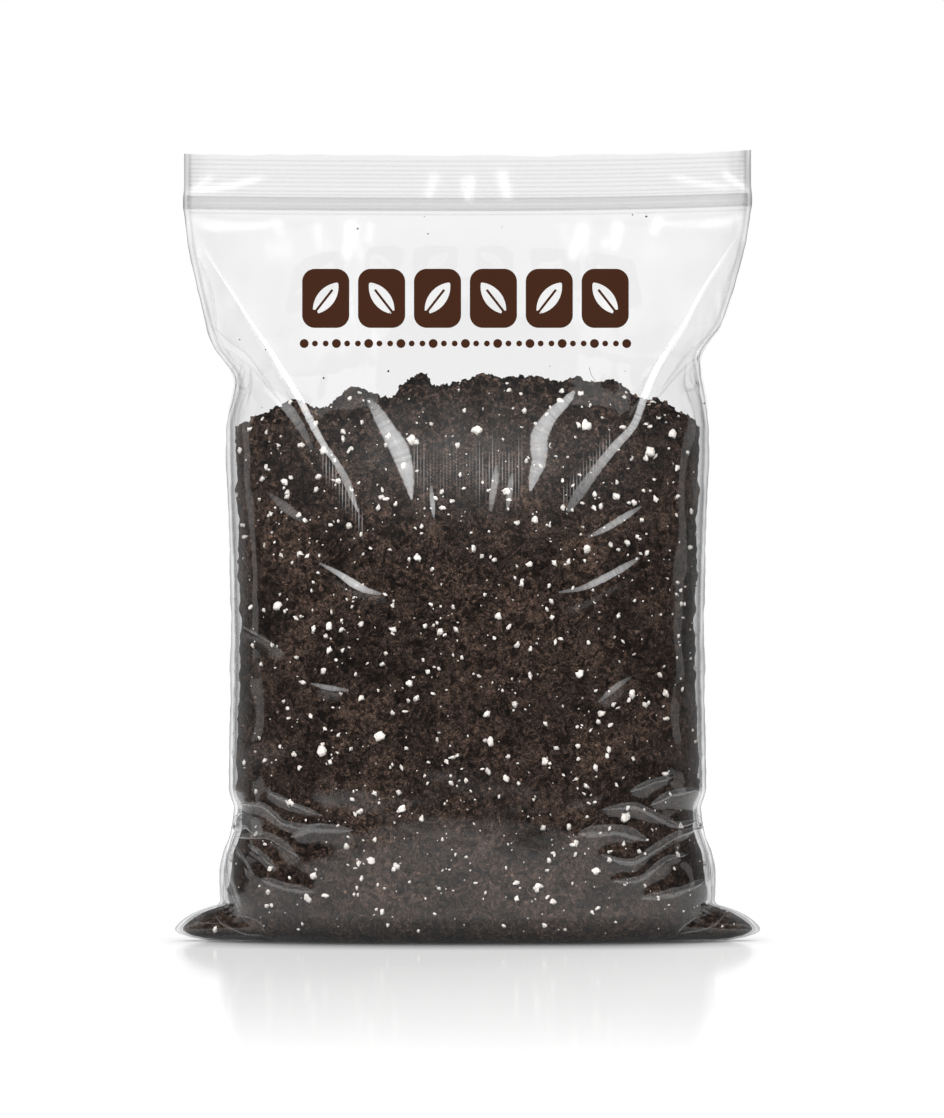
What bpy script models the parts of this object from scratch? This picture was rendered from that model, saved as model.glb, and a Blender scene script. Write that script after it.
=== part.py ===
"""A clear zip-top bag standing on its base, filled with compost that holds white perlite granules.

Metres, +Z up, the front faces -Y, and the origin is on the floor under the middle of the bag.
The bag is one sheet of clear film, folded at the bottom and welded up both sides. A strip with a rib and a
strip with a groove are pressed together inside its mouth. The compost fills it to two thirds of its height.
"""

import math

import bmesh
import bpy
from mathutils import Vector, noise
from mathutils.bvhtree import BVHTree

# The bag film
BAG_WIDTH = 0.330  # laid flat, from welded edge to welded edge
FILM = 0.0002  # wall
WELD_WIDTH = 0.0022  # the strip at each side where the two walls are one
WELD_THICKNESS = 0.0007
MOUTH = 0.0038  # across the two walls at the zip
LIP_HEIGHT = 0.028  # from the top of the zip to the top edge
HEADSPACE = 0.071  # from the shoulder corners to the bottom of the zip
POCKET_END = 0.0003  # gap left between the walls where the weld starts
POCKET_SHARE = 0.2  # how far that gap runs into the weld, as a share of it

# The filled body
BODY_WIDTH = 0.276
BODY_DEPTH = 0.114
FILL_HEIGHT = 0.298  # where the compost leaves the film at the sides
BASE_TUCK = 0.013  # how far the walls turn in to the flat base
BASE_FLARE = 0.006  # how far the body swells at each side just above the ears
WAIST_HEIGHT = 0.0755  # the fold at each side above that swelling
WAIST_INSET = 0.0025
WAIST_REACH = 0.013

# The neck, where the side of the film folds in over the compost, and the shoulder corner above it
NECK_ABOVE_FILL = 0.033
NECK_INSET = 0.003
SHOULDER_RISE = 0.022
SHOULDER_INSET = 0.0165
SHOULDER_TILT = 0.0133  # how much higher the right shoulder is than the left one

# The two corner ears, which lie on the floor
EAR_SPREAD = 0.170  # from the middle of the bag to the tip
EAR_HEIGHT = 0.021
EAR_DEPTH = 0.068
EAR_ROOT = 0.024  # how far inside the body's side the ear begins

# The zip
ZIP_HEIGHT = 0.0076
STRIP_GAP = 0.0003  # clearance between a strip and what it touches
FLANGE = 0.0004
RIB_STEM = 0.0006
RIB_HEAD = 0.0014
JAW = 0.0004
RAIL = 0.0005
STRIP_INSET = 0.0095  # from the bag's edge to the end of a strip, where the mouth is crushed shut

# The compost
SIDE_CLEARANCE = 0.0016  # between the compost and the weld
WALL_CLEARANCE = 0.0011  # between the compost and the walls
HEAP_RISE = 0.022  # how far the middle of the heap rises above its sides
HEAP_CROWN = 0.004
HEAP_LEAN = 0.0117  # how far the heap's right side stands above its left, before it falls away at the walls
CLOD = 0.0075  # height of the lumps on the heap, and about half the way from one to the next
CLOD_PITCH = 0.019

# The larger perlite granules
GRANULES = 46
LARGEST_GRANULE = 0.0100
SMALLEST_GRANULE = 0.0054
SOCKET_CLEARANCE = 0.0003
GRANULE_PROUD = 0.0004  # how far a granule stands out of the compost
GRANULE_DEPTH = 0.2  # from the compost's surface to a granule's middle, as a share of its size

# Rows and columns that the film and the compost share
COLUMNS = 24
BODY_ROW = 0.0205
NECK_ROW = 0.0078
TENT_ROW = 0.016
HEAP_LINES = 8

NECK_HEIGHT = FILL_HEIGHT + NECK_ABOVE_FILL
SHOULDER_HEIGHT = NECK_HEIGHT + SHOULDER_RISE
ZIP_BOTTOM = SHOULDER_HEIGHT + HEADSPACE
ZIP_TOP = ZIP_BOTTOM + ZIP_HEIGHT
BELOW_ZIP = ZIP_BOTTOM - 0.12 * HEADSPACE  # where the two walls come together
BAG_HEIGHT = ZIP_TOP + LIP_HEIGHT
FOOT = BODY_WIDTH / 2 - BASE_TUCK
EAR_SPAN = EAR_SPREAD - FOOT

# How far the ear reaches out, as a share of EAR_SPAN, at each share of EAR_HEIGHT
EAR_OUTLINE = ((0, 0.55), (0.14, 0.89), (0.3, 1), (0.5, 0.93), (0.72, 0.79), (0.88, 0.62), (1, 0.44))
EAR_THICKNESS = ((0, 0.42), (0.2, 0.9), (0.45, 1), (0.75, 0.8), (1, 0.45), (1.35, 0))

# Folds pressed into both walls: how far one stands out (or in, below zero), its half width, and its line, as
# shares of half the bag's width and of the bag's height
SHOULDER_RIDGE = 0.0034
SHOULDER_CREASE = -0.0036
CORNER_CREASE = -0.0022
FOLD_HALF_WIDTH = 0.008
CREASE_HALF_WIDTH = 0.0065
FOLDS = (
    (SHOULDER_RIDGE, FOLD_HALF_WIDTH, ((-0.92, 0.875), (-0.78, 0.796), (-0.7, 0.75), (-0.6, 0.688), (-0.34, 0.51))),
    (SHOULDER_RIDGE, FOLD_HALF_WIDTH, ((0.94, 0.89), (0.82, 0.82), (0.71, 0.75), (0.62, 0.694), (0.47, 0.566))),
    (SHOULDER_CREASE, CREASE_HALF_WIDTH, ((-0.89, 0.757), (-0.77, 0.728), (-0.66, 0.688), (-0.58, 0.62))),
    (SHOULDER_CREASE, CREASE_HALF_WIDTH, ((0.91, 0.783), (0.78, 0.749), (0.68, 0.698), (0.64, 0.63))),
    (CORNER_CREASE, CREASE_HALF_WIDTH, ((-0.85, 0.06), (-0.62, 0.114), (-0.48, 0.178))),
    (CORNER_CREASE, CREASE_HALF_WIDTH, ((-0.8, 0.127), (-0.64, 0.153), (-0.55, 0.22))),
    (CORNER_CREASE, CREASE_HALF_WIDTH, ((0.87, 0.063), (0.64, 0.114), (0.43, 0.19))),
    (CORNER_CREASE, CREASE_HALF_WIDTH, ((0.82, 0.13), (0.68, 0.17), (0.6, 0.25))),
)

# The largest granules at the top of the front, as shares of half the body's width and of the fill's height, and
# their size as a share of the largest
TOP_GRANULES = (
    (0.87, 0.985, 0.8),
    (0.77, 0.95, 0.9),
    (0.5, 1.0, 1),
    (0.04, 0.99, 0.8),
    (-0.23, 0.97, 1),
    (-0.6, 0.95, 0.7),
)

FILM_COLOUR = (0.93, 0.94, 0.94)
COMPOST_COLOUR = (0.030, 0.020, 0.015)
PERLITE_COLOUR = (0.80, 0.77, 0.71)


def material(name, colour, roughness, alpha=1.0):
    made = bpy.data.materials.new(name)
    made.use_nodes = True
    shader = made.node_tree.nodes["Principled BSDF"]
    shader.inputs["Base Color"].default_value = (*colour, 1)
    shader.inputs["Roughness"].default_value = roughness
    shader.inputs["Metallic"].default_value = 0
    shader.inputs["Alpha"].default_value = alpha
    return made


def add_object(name, bm, finish, smooth_angle=40):
    mesh = bpy.data.meshes.new(name)
    bm.to_mesh(mesh)
    bm.free()
    mesh.materials.append(finish)
    mesh.shade_smooth()
    mesh.set_sharp_from_angle(angle=math.radians(smooth_angle))
    made = bpy.data.objects.new(name, mesh)
    bpy.context.scene.collection.objects.link(made)
    return made


def ease(share):
    share = min(max(share, 0.0), 1.0)
    return share * share * (3 - 2 * share)


def curve_at(keys, at):
    """The value at a place on a smooth curve through (place, value) pairs, which doesn't overshoot them."""
    if at <= keys[0][0]:
        return keys[0][1]
    if at >= keys[-1][0]:
        return keys[-1][1]
    i = max(k for k in range(len(keys) - 1) if keys[k][0] <= at)
    slopes = [(b[1] - a[1]) / (b[0] - a[0]) for a, b in zip(keys, keys[1:])]

    def tangent(k):
        if k == 0 or k == len(slopes):
            return slopes[min(k, len(slopes) - 1)]
        before, after = slopes[k - 1], slopes[k]
        return 0.0 if before * after <= 0 else 2 * before * after / (before + after)

    (start, low), (end, high) = keys[i], keys[i + 1]
    span = end - start
    t = (at - start) / span
    return (
        low * (1 + 2 * t) * (1 - t) ** 2
        + high * t * t * (3 - 2 * t)
        + span * t * (1 - t) * (tangent(i) * (1 - t) - tangent(i + 1) * t)
    )


def body_keys(side):
    """(height, half width) of the outline without the ears, on the left (side -1) or the right (side 1)."""
    body, bag = BODY_WIDTH / 2, BAG_WIDTH / 2
    neck = NECK_HEIGHT + side * SHOULDER_TILT / 2
    shoulder = neck + SHOULDER_RISE
    above = ZIP_BOTTOM - shoulder
    return (
        (0, FOOT),
        (0.25 * EAR_HEIGHT, body - BASE_TUCK / 5),
        (0.8 * EAR_HEIGHT, body + 0.7 * BASE_FLARE),
        (1.3 * EAR_HEIGHT, body + BASE_FLARE),
        (2 * EAR_HEIGHT, body + 0.9 * BASE_FLARE),
        (WAIST_HEIGHT, body - WAIST_INSET),
        (WAIST_HEIGHT + WAIST_REACH, body + 0.1 * BASE_FLARE),
        (0.6 * FILL_HEIGHT, body - 0.1 * BASE_FLARE),
        (FILL_HEIGHT, body + 0.4 * BASE_FLARE),
        (neck, body - NECK_INSET),
        (shoulder, bag - SHOULDER_INSET),
        (shoulder + 0.45 * above, bag - 0.42 * SHOULDER_INSET),
        (ZIP_BOTTOM - 0.12 * above, bag - 0.05 * SHOULDER_INSET),
        (ZIP_BOTTOM, bag),
    )


OUTLINE = {side: body_keys(side) for side in (-1, 1)}
DEPTHS = (
    (0, BODY_DEPTH / 2 - BASE_TUCK),
    (0.25 * EAR_HEIGHT, BODY_DEPTH / 2 - 0.5 * BASE_TUCK),
    (0.8 * EAR_HEIGHT, BODY_DEPTH / 2 - 0.15 * BASE_TUCK),
    (WAIST_HEIGHT + WAIST_REACH, BODY_DEPTH / 2),
    (0.66 * FILL_HEIGHT, 0.94 * BODY_DEPTH / 2),
    (FILL_HEIGHT, 0.77 * BODY_DEPTH / 2),
    (NECK_HEIGHT, 0.61 * BODY_DEPTH / 2),
    (SHOULDER_HEIGHT, 0.49 * BODY_DEPTH / 2),
    (SHOULDER_HEIGHT + 0.5 * HEADSPACE, 0.24 * BODY_DEPTH / 2),
    (BELOW_ZIP, 0.07 * BODY_DEPTH / 2),
    (ZIP_BOTTOM, (MOUTH - WELD_THICKNESS) / 2),
)
# The cross-section is a lens, half depth * (1 - share of half width ** fullness) ** bluntness
FULLNESS = ((0, 2.9), (FILL_HEIGHT, 2.5), (SHOULDER_HEIGHT, 2.1), (BELOW_ZIP, 3), (ZIP_BOTTOM, 90))
BLUNTNESS = ((0, 0.5), (FILL_HEIGHT, 0.6), (SHOULDER_HEIGHT, 0.85), (BELOW_ZIP, 0.8), (ZIP_BOTTOM, 0.5))


def body_half_width(z, side):
    return curve_at(OUTLINE[side], z)


def half_width(z, side):
    """From the middle of the bag to its welded edge, with the ears."""
    width = body_half_width(z, side)
    if z <= EAR_HEIGHT:
        width = max(width, FOOT + EAR_SPAN * curve_at(EAR_OUTLINE, z / EAR_HEIGHT))
    return width


def fold_at(x, z, face):
    """How far the folds push the wall out at a point. The back wall has the front wall's folds turned round."""
    total = 0.0
    x = x if face < 0 else -x
    for height, half, line in FOLDS:
        nearest, where = 1.0, 0.0
        points = [Vector((across * BAG_WIDTH / 2, up * BAG_HEIGHT)) for across, up in line]
        for k, (start, end) in enumerate(zip(points, points[1:])):
            run = end - start
            t = min(max((Vector((x, z)) - start).dot(run) / run.length_squared, 0.0), 1.0)
            distance = (start + run * t - Vector((x, z))).length
            if distance < nearest:
                nearest, where = distance, (k + t) / (len(points) - 1)
        total += height * math.exp(-((nearest / half) ** 2)) * min(1.0, 3 * where + 0.15, 3 * (1 - where))
    return total


def half_depth(x, z, face):
    """From the bag's middle plane to the outer side of the front wall (face -1) or the back wall (face 1)."""
    side = 1 if x > 0 else -1
    edge = half_width(z, side) - WELD_WIDTH
    body = body_half_width(z, side) - WELD_WIDTH
    lens = max(0.0, 1 - abs(x / body) ** curve_at(FULLNESS, z)) ** curve_at(BLUNTNESS, z)
    depth = curve_at(DEPTHS, z) * lens
    thickness = curve_at(EAR_THICKNESS, z / EAR_HEIGHT)
    if thickness > 0:
        root = BODY_WIDTH / 2 - EAR_ROOT
        out = max(0.0, (abs(x) - root) / (edge - root))
        depth = max(depth, EAR_DEPTH / 2 * thickness * max(0.0, 1 - out) ** 0.8)
    guard = min(1.0, max(0.0, edge - abs(x)) / (0.04 * BAG_WIDTH)) * ease(z / EAR_HEIGHT)
    guard *= ease((ZIP_BOTTOM - z) / (0.3 * HEADSPACE))
    return WELD_THICKNESS / 2 + depth + guard * fold_at(x, z, face)


def spread_columns(count):
    """Shares of the half width from -1 to 1, closer together near the edges."""
    places = [2 * k / count - 1 for k in range(count + 1)]
    return [0.42 * place + 0.58 * math.sin(place * math.pi / 2) for place in places]


SHARES = spread_columns(COLUMNS)


def column_point(share, z, face):
    """Where a column of the outer wall meets a height, as (x, half depth)."""
    x = share * (half_width(z, 1 if share > 0 else -1) - WELD_WIDTH)
    return x, half_depth(x, z, face)


def flat_wall(x, z, face):
    """(half depth, slope) of the outer wall at a point, on the flat facet between two columns."""
    edge = half_width(z, 1 if x > 0 else -1) - WELD_WIDTH
    share = min(max(x / edge, -1.0), 1.0)
    k = max(i for i in range(COLUMNS) if SHARES[i] <= share)
    (left, low), (right, high) = (column_point(SHARES[i], z, face) for i in (k, k + 1))
    slope = (high - low) / (right - left)
    return low + slope * (x - left), slope


def inside(x, z, face, clearance):
    """The half depth of a surface that keeps this clearance to the outer side of the wall, square to it."""
    step = 0.0008
    depth, across = flat_wall(x, z, face)
    up = (flat_wall(x, z + step, face)[0] - flat_wall(x, max(z - step, 0), face)[0]) / (2 * step)
    return depth - clearance * math.sqrt(1 + across**2 + up**2)


def steps_between(low, high, pitch):
    count = max(1, round((high - low) / pitch))
    return [low + (high - low) * k / count for k in range(count)]


def row_heights(top):
    ear = [share * EAR_HEIGHT for share in (0, 0.14, 0.3, 0.5, 0.72, 0.88, 1, 1.35, 2)]
    waist = [WAIST_HEIGHT - WAIST_REACH, WAIST_HEIGHT, WAIST_HEIGHT + WAIST_REACH / 2]
    neck = NECK_HEIGHT - SHOULDER_TILT / 2
    shoulders = SHOULDER_HEIGHT + SHOULDER_TILT / 2
    rows = ear + waist
    rows += steps_between(WAIST_HEIGHT + WAIST_REACH, neck - 4 * NECK_ROW, BODY_ROW)
    rows += steps_between(neck - 4 * NECK_ROW, neck, NECK_ROW)
    rows += steps_between(neck, shoulders, NECK_ROW)
    rows += steps_between(shoulders, BELOW_ZIP, TENT_ROW)
    rows += [BELOW_ZIP, ZIP_BOTTOM, ZIP_TOP, ZIP_TOP + LIP_HEIGHT / 2, BAG_HEIGHT]
    return [z for z in rows if z < top - NECK_ROW / 2] + [top]


def join_rings(bm, rings):
    """Walls between rings that have as many points each, split along the same diagonal everywhere."""
    for low, high in zip(rings, rings[1:]):
        for k, corner in enumerate(low):
            after = (k + 1) % len(low)
            bm.faces.new((corner, low[after], high[after]))
            bm.faces.new((corner, high[after], high[k]))


def close_ring(bm, ring, lines=()):
    """Closes a ring, whose first half is the front and whose second half is the back, through lines between them.

    A line has a point for each column but the two end ones.
    """
    half = len(ring) // 2
    front, back = ring[:half], ring[:half - 1:-1]
    rows = [front[1:-1], *lines, back[1:-1]]
    for near, far in zip(rows, rows[1:]):
        for k in range(half - 3):
            bm.faces.new((near[k], near[k + 1], far[k + 1]))
            bm.faces.new((near[k], far[k + 1], far[k]))
    for end in (0, -1):
        chain = [row[end] for row in rows]
        middle = (len(chain) - 1) // 2
        bm.faces.new((front[end], chain[middle], back[end]))
        for k, (near, far) in enumerate(zip(chain, chain[1:])):
            bm.faces.new((front[end] if k < middle else back[end], near, far))


def wall_points(z):
    """Two rings of points at a height: the film's outer side, and its inner side, which ends in the welds."""
    outer, inner = [], []
    for face in (-1, 1):
        line = [column_point(share, z, face) for share in SHARES]
        hollow = [(x, max(inside(x, z, face, FILM), POCKET_END / 2)) for x, _ in line[1:-1]]
        hollow = [(line[0][0], POCKET_END / 2), *hollow, (line[-1][0], POCKET_END / 2)]
        left, right = (side * half_width(z, side) for side in (-1, 1))
        line = [(left, WELD_THICKNESS / 2), *line, (right, WELD_THICKNESS / 2)]
        inset = WELD_WIDTH * (1 - POCKET_SHARE)
        hollow = [(left + inset, POCKET_END / 3), *hollow, (right - inset, POCKET_END / 3)]
        for points, ring in ((line, outer), (hollow, inner)):
            placed = [(x, face * y) for x, y in points]
            ring.extend(placed if face < 0 else placed[::-1])
    return outer, inner


def make_film():
    bm = bmesh.new()
    outer_rings, inner_rings = [], []
    for z in row_heights(BAG_HEIGHT):
        outer, inner = wall_points(z)
        outer_rings.append([bm.verts.new((x, y, z)) for x, y in outer])
        inner_rings.append([bm.verts.new((x, y, max(z, FILM))) for x, y in inner])
    join_rings(bm, outer_rings)
    join_rings(bm, inner_rings)
    join_rings(bm, [outer_rings[-1], inner_rings[-1]])
    close_ring(bm, outer_rings[0])
    close_ring(bm, inner_rings[0])
    bmesh.ops.recalc_face_normals(bm, faces=bm.faces)
    return add_object("bag_film", bm, material("clear_film", FILM_COLOUR, 0.12, alpha=0.25), 60)


def heap_edge(x):
    """How high the compost stands against the walls."""
    out = x / (BODY_WIDTH / 2)
    middle = 1 - min(1.0, abs(out)) ** 2
    clod = CLOD * noise.noise(Vector((x / CLOD_PITCH, 3.1, 0))) * ease(4 * middle)
    return FILL_HEIGHT + (HEAP_RISE + HEAP_LEAN * out) * middle + clod


def compost_height(x, row):
    """The height of a row of the compost, which rises with the heap towards the top."""
    return row + (heap_edge(x) - FILL_HEIGHT) * ease((row / FILL_HEIGHT - 0.4) / 0.6)


def compost_ring(row):
    ring = []
    for face in (-1, 1):
        line = []
        for share in SHARES:
            x = share * (half_width(row, 1 if share > 0 else -1) - WELD_WIDTH - SIDE_CLEARANCE)
            z = compost_height(x, row)
            y = max(inside(x, z, face, FILM + WALL_CLEARANCE), WELD_THICKNESS / 2)
            line.append((x, face * y, max(z, FILM + STRIP_GAP)))
        ring.extend(line if face < 0 else line[::-1])
    return ring


def make_compost():
    bm = bmesh.new()
    rings = [[bm.verts.new(point) for point in compost_ring(row)] for row in row_heights(FILL_HEIGHT)]
    join_rings(bm, rings)
    close_ring(bm, rings[0])
    top = rings[-1]
    half = len(top) // 2
    lines = []
    for line in range(1, HEAP_LINES):
        across = line / HEAP_LINES
        points = []
        for near, far in zip(top[1:half - 1], top[:half:-1][:half - 2]):
            point = near.co.lerp(far.co, across)
            clod = CLOD * noise.noise(point / CLOD_PITCH)
            shoulder = ease(5 * (1 - abs(point.x) / (BODY_WIDTH / 2)))
            point.z += (HEAP_CROWN + clod) * math.sin(math.pi * across) ** 0.5 * shoulder
            points.append(bm.verts.new(point))
        lines.append(points)
    close_ring(bm, top, lines)
    bmesh.ops.recalc_face_normals(bm, faces=bm.faces)
    return add_object("compost_fill", bm, material("compost", COMPOST_COLOUR, 0.9), 50)


def granule_hull(size, seed):
    """A crushed grain: the hull of points spread over a ball and pushed in by uneven amounts."""
    bm = bmesh.new()
    count = 15
    for k in range(count):
        up = 1 - (2 * k + 1) / count
        turn = k * math.pi * (3 - math.sqrt(5)) + seed
        around = math.sqrt(1 - up * up)
        push = 0.86 + 0.14 * noise.noise(Vector((k * 1.7, seed * 2.3, 0.5)))
        flat = Vector((around * math.cos(turn), around * math.sin(turn) * 0.9, up * 0.82))
        bm.verts.new(flat * push * size / 2)
    bmesh.ops.convex_hull(bm, input=bm.verts)
    bmesh.ops.delete(bm, geom=[v for v in bm.verts if not v.link_faces], context="VERTS")
    bmesh.ops.recalc_face_normals(bm, faces=bm.faces)
    return bm


def granule_sites():
    """(x, z, face, size) of each granule: the large ones at the top of the front, then the rest by rule."""
    sites = []
    for across, up, share in TOP_GRANULES:
        sites.append((across * BODY_WIDTH / 2, up * FILL_HEIGHT, -1, share * LARGEST_GRANULE))
    k = 0
    while len(sites) < GRANULES:
        k += 1
        across = 2 * math.fmod(0.5 + 0.7549 * k, 1) - 1
        up = 0.1 + 0.86 * math.fmod(0.5 + 0.5698 * k, 1)
        x, z = 0.82 * across * BODY_WIDTH / 2, up * FILL_HEIGHT
        face = -1 if k % 5 < 3 else 1
        size = SMALLEST_GRANULE + (LARGEST_GRANULE - SMALLEST_GRANULE) * 0.7 * math.fmod(k * 0.381, 1) ** 1.5
        apart = (math.dist((x, z), (s[0], s[1])) for s in sites if s[2] == face)
        if min(apart, default=1.0) > 2 * LARGEST_GRANULE:
            sites.append((x, z, face, size))
    return sites


def make_granules(compost):
    """Seats each granule in a socket of the compost. The film has pressed it in, so its outer face is flat."""
    surface = BVHTree.FromObject(compost, bpy.context.evaluated_depsgraph_get())
    finish = material("perlite", PERLITE_COLOUR, 0.85)
    sockets = bmesh.new()
    for number, (x, z, face, size) in enumerate(granule_sites(), 1):
        hit, normal, _, _ = surface.find_nearest(Vector((x, face * half_depth(x, z, face), z)))
        bm = granule_hull(size, number)
        centre = hit - normal * GRANULE_DEPTH * size
        nearest = min(made.calc_center_median().dot(made.normal) for made in bm.faces)
        grow = 1 + SOCKET_CLEARANCE / nearest
        places = {v: sockets.verts.new(centre + v.co * grow) for v in bm.verts}
        for made in bm.faces:
            sockets.faces.new([places[v] for v in made.verts])
        bmesh.ops.translate(bm, verts=bm.verts, vec=centre)
        pressed = hit + normal * GRANULE_PROUD
        geometry = bm.verts[:] + bm.edges[:] + bm.faces[:]
        cut = bmesh.ops.bisect_plane(bm, geom=geometry, plane_co=pressed, plane_no=normal, clear_outer=True)
        rim = [part for part in cut["geom_cut"] if isinstance(part, bmesh.types.BMEdge)]
        bmesh.ops.contextual_create(bm, geom=rim)
        bmesh.ops.recalc_face_normals(bm, faces=bm.faces)
        add_object(f"perlite_{number:02d}", bm, finish, 10)
    cutter = add_object("granule_sockets", sockets, finish, 10)
    carve(compost, cutter)


def carve(body, cutter):
    """Cuts one closed mesh out of another and keeps the result, with its new edges sharp."""
    cut = body.modifiers.new("sockets", "BOOLEAN")
    cut.operation = "DIFFERENCE"
    cut.solver = "EXACT"
    cut.object = cutter
    carved = bpy.data.meshes.new_from_object(body.evaluated_get(bpy.context.evaluated_depsgraph_get()))
    body.modifiers.clear()
    body.data = carved
    carved.set_sharp_from_angle(angle=math.radians(35))
    bpy.data.objects.remove(cutter, do_unlink=True)


def extrude_profile(name, profile, finish):
    """A strip along the mouth, from a closed (y, z) profile with heights measured from the zip's middle."""
    reach = BAG_WIDTH / 2 - STRIP_INSET
    middle = (ZIP_BOTTOM + ZIP_TOP) / 2
    bm = bmesh.new()
    end = bm.faces.new([bm.verts.new((-reach, y, middle + z)) for y, z in profile])
    grown = bmesh.ops.extrude_face_region(bm, geom=[end])
    moved = [part for part in grown["geom"] if isinstance(part, bmesh.types.BMVert)]
    bmesh.ops.translate(bm, verts=moved, vec=(2 * reach, 0, 0))
    bmesh.ops.recalc_face_normals(bm, faces=bm.faces)
    return add_object(name, bm, finish, 30)


def mirrored(half):
    """The whole profile of a strip from its upper half, which runs from the back face to the middle."""
    return half + [(y, -z) for y, z in reversed(half)]


def make_zip():
    """The rib strip lies along the front wall and the groove strip along the back wall, pressed together."""
    finish = material("zip_strip", FILM_COLOUR, 0.3, alpha=0.6)
    seat = MOUTH / 2 - FILM - STRIP_GAP
    flange = seat - FLANGE
    top = ZIP_HEIGHT / 2
    rib_tip = flange - STRIP_GAP
    barb = 0.0
    rail_low = top - 2 * RAIL - JAW
    rail_high = rail_low + RAIL
    rail = [(flange, rail_high), (flange - RAIL, rail_high), (flange - RAIL, rail_low), (flange, rail_low)]
    rib = [(-seat, top), (-flange, top)]
    rib += [(-y, z) for y, z in rail]
    rib += [
        (-flange, RIB_STEM / 2),
        (barb, RIB_STEM / 2),
        (barb, RIB_HEAD / 2),
        (rib_tip - RIB_STEM / 2, RIB_HEAD / 2),
        (rib_tip, RIB_STEM / 2),
    ]
    extrude_profile("zip_rib_strip", mirrored(rib), finish)
    inner = RIB_HEAD / 2 + STRIP_GAP
    hook = RIB_STEM / 2 + STRIP_GAP
    jaw_tip = STRIP_GAP - flange
    groove = [(seat, top), (flange, top)]
    groove += [
        (flange, inner + JAW),
        (jaw_tip, inner + JAW),
        (jaw_tip, hook),
        (barb - STRIP_GAP, hook),
        (barb - STRIP_GAP, inner),
        (flange, inner),
    ]
    extrude_profile("zip_groove_strip", mirrored(groove), finish)


for old in list(bpy.data.objects):
    bpy.data.objects.remove(old, do_unlink=True)

make_film()
make_zip()
make_granules(make_compost())
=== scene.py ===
import math
import random

import bmesh
import bpy
import numpy as np
from mathutils import Euler, Matrix, Vector, noise
from mathutils.bvhtree import BVHTree


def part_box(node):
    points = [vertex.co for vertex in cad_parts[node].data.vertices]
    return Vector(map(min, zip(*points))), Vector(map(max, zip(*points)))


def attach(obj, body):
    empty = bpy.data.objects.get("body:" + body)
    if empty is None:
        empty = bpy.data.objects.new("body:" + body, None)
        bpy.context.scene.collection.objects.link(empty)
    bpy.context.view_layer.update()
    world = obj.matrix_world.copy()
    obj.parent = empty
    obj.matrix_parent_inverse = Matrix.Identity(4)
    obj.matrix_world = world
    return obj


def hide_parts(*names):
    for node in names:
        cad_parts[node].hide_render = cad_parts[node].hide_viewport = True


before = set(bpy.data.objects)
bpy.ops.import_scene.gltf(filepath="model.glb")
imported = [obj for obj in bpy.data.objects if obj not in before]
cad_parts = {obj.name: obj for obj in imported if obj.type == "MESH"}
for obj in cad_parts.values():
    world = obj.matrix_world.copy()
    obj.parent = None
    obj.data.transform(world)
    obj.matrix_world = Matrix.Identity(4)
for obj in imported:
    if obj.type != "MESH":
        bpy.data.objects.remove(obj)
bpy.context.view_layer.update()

# The camera stands level with the lower half of the bag, well back, so that the bag is seen straight on.
# It frames the bag as the photograph does, in a picture 944 wide and 1118 high.
VIEW_WIDTH = 0.5485
VIEW_CENTRE = Vector((0.0026, 0.0, 0.2214))
CAMERA_DISTANCE = 3.2
CAMERA_HEIGHT = 0.16
SENSOR = 36.0
camera = bpy.data.objects.new("camera", bpy.data.cameras.new("camera"))
bpy.context.scene.collection.objects.link(camera)
camera.location = (VIEW_CENTRE.x, -CAMERA_DISTANCE, CAMERA_HEIGHT)
camera.rotation_euler = (VIEW_CENTRE - camera.location).to_track_quat("-Z", "Y").to_euler()
camera.data.sensor_fit = "HORIZONTAL"
camera.data.sensor_width = SENSOR
camera.data.lens = SENSOR * CAMERA_DISTANCE / VIEW_WIDTH
bpy.context.scene.camera = camera

# The bag is one sheet of clear film, folded at the bottom and welded up both sides. It stands on its
# flat base, bulges over the compost, folds in at the neck and comes together flat at the mouth, with
# two ears on the floor.
bag_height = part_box("bag_film")[1][2]
ear_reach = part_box("bag_film")[1][0]
body_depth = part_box("bag_film")[1][1]
zip_low, zip_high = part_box("zip_rib_strip")
bag_half = zip_high[0] + 0.0095
body_half = 0.138
fill_height = 0.298
foot = body_half - 0.013
ear_height = 0.021
waist = 0.0755
flare = 0.006
shoulder_rise = 0.022
neck_heights = {-1: 0.3243, 1: 0.3377}
weld = 0.0022
mouth_half = 0.0019
below_zip = zip_low[2] - 0.0085
bag_columns = 174
wall_rows = 227
lip_rows = 40
base_rows = 26


def smooth_curve(keys, at):
    """The values at some places on a smooth curve through (place, value) pairs, with no overshoot."""
    places, values = np.array(keys, float).T
    spans = np.diff(places)
    slopes = np.diff(values) / spans
    product = slopes[:-1] * slopes[1:]
    total = np.where(product > 0, slopes[:-1] + slopes[1:], 1.0)
    inner = np.where(product > 0, 2 * product / total, 0.0)
    tangents = np.concatenate([slopes[:1], inner, slopes[-1:]])
    at = np.clip(at, places[0], places[-1])
    i = np.clip(np.searchsorted(places, at, side="right") - 1, 0, len(spans) - 1)
    t = (at - places[i]) / spans[i]
    low, high = values[i] * (1 + 2 * t) * (1 - t) ** 2, values[i + 1] * t * t * (3 - 2 * t)
    return low + high + spans[i] * t * (1 - t) * (tangents[i] * (1 - t) - tangents[i + 1] * t)


def ease(share):
    share = np.clip(share, 0.0, 1.0)
    return share * share * (3 - 2 * share)


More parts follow.
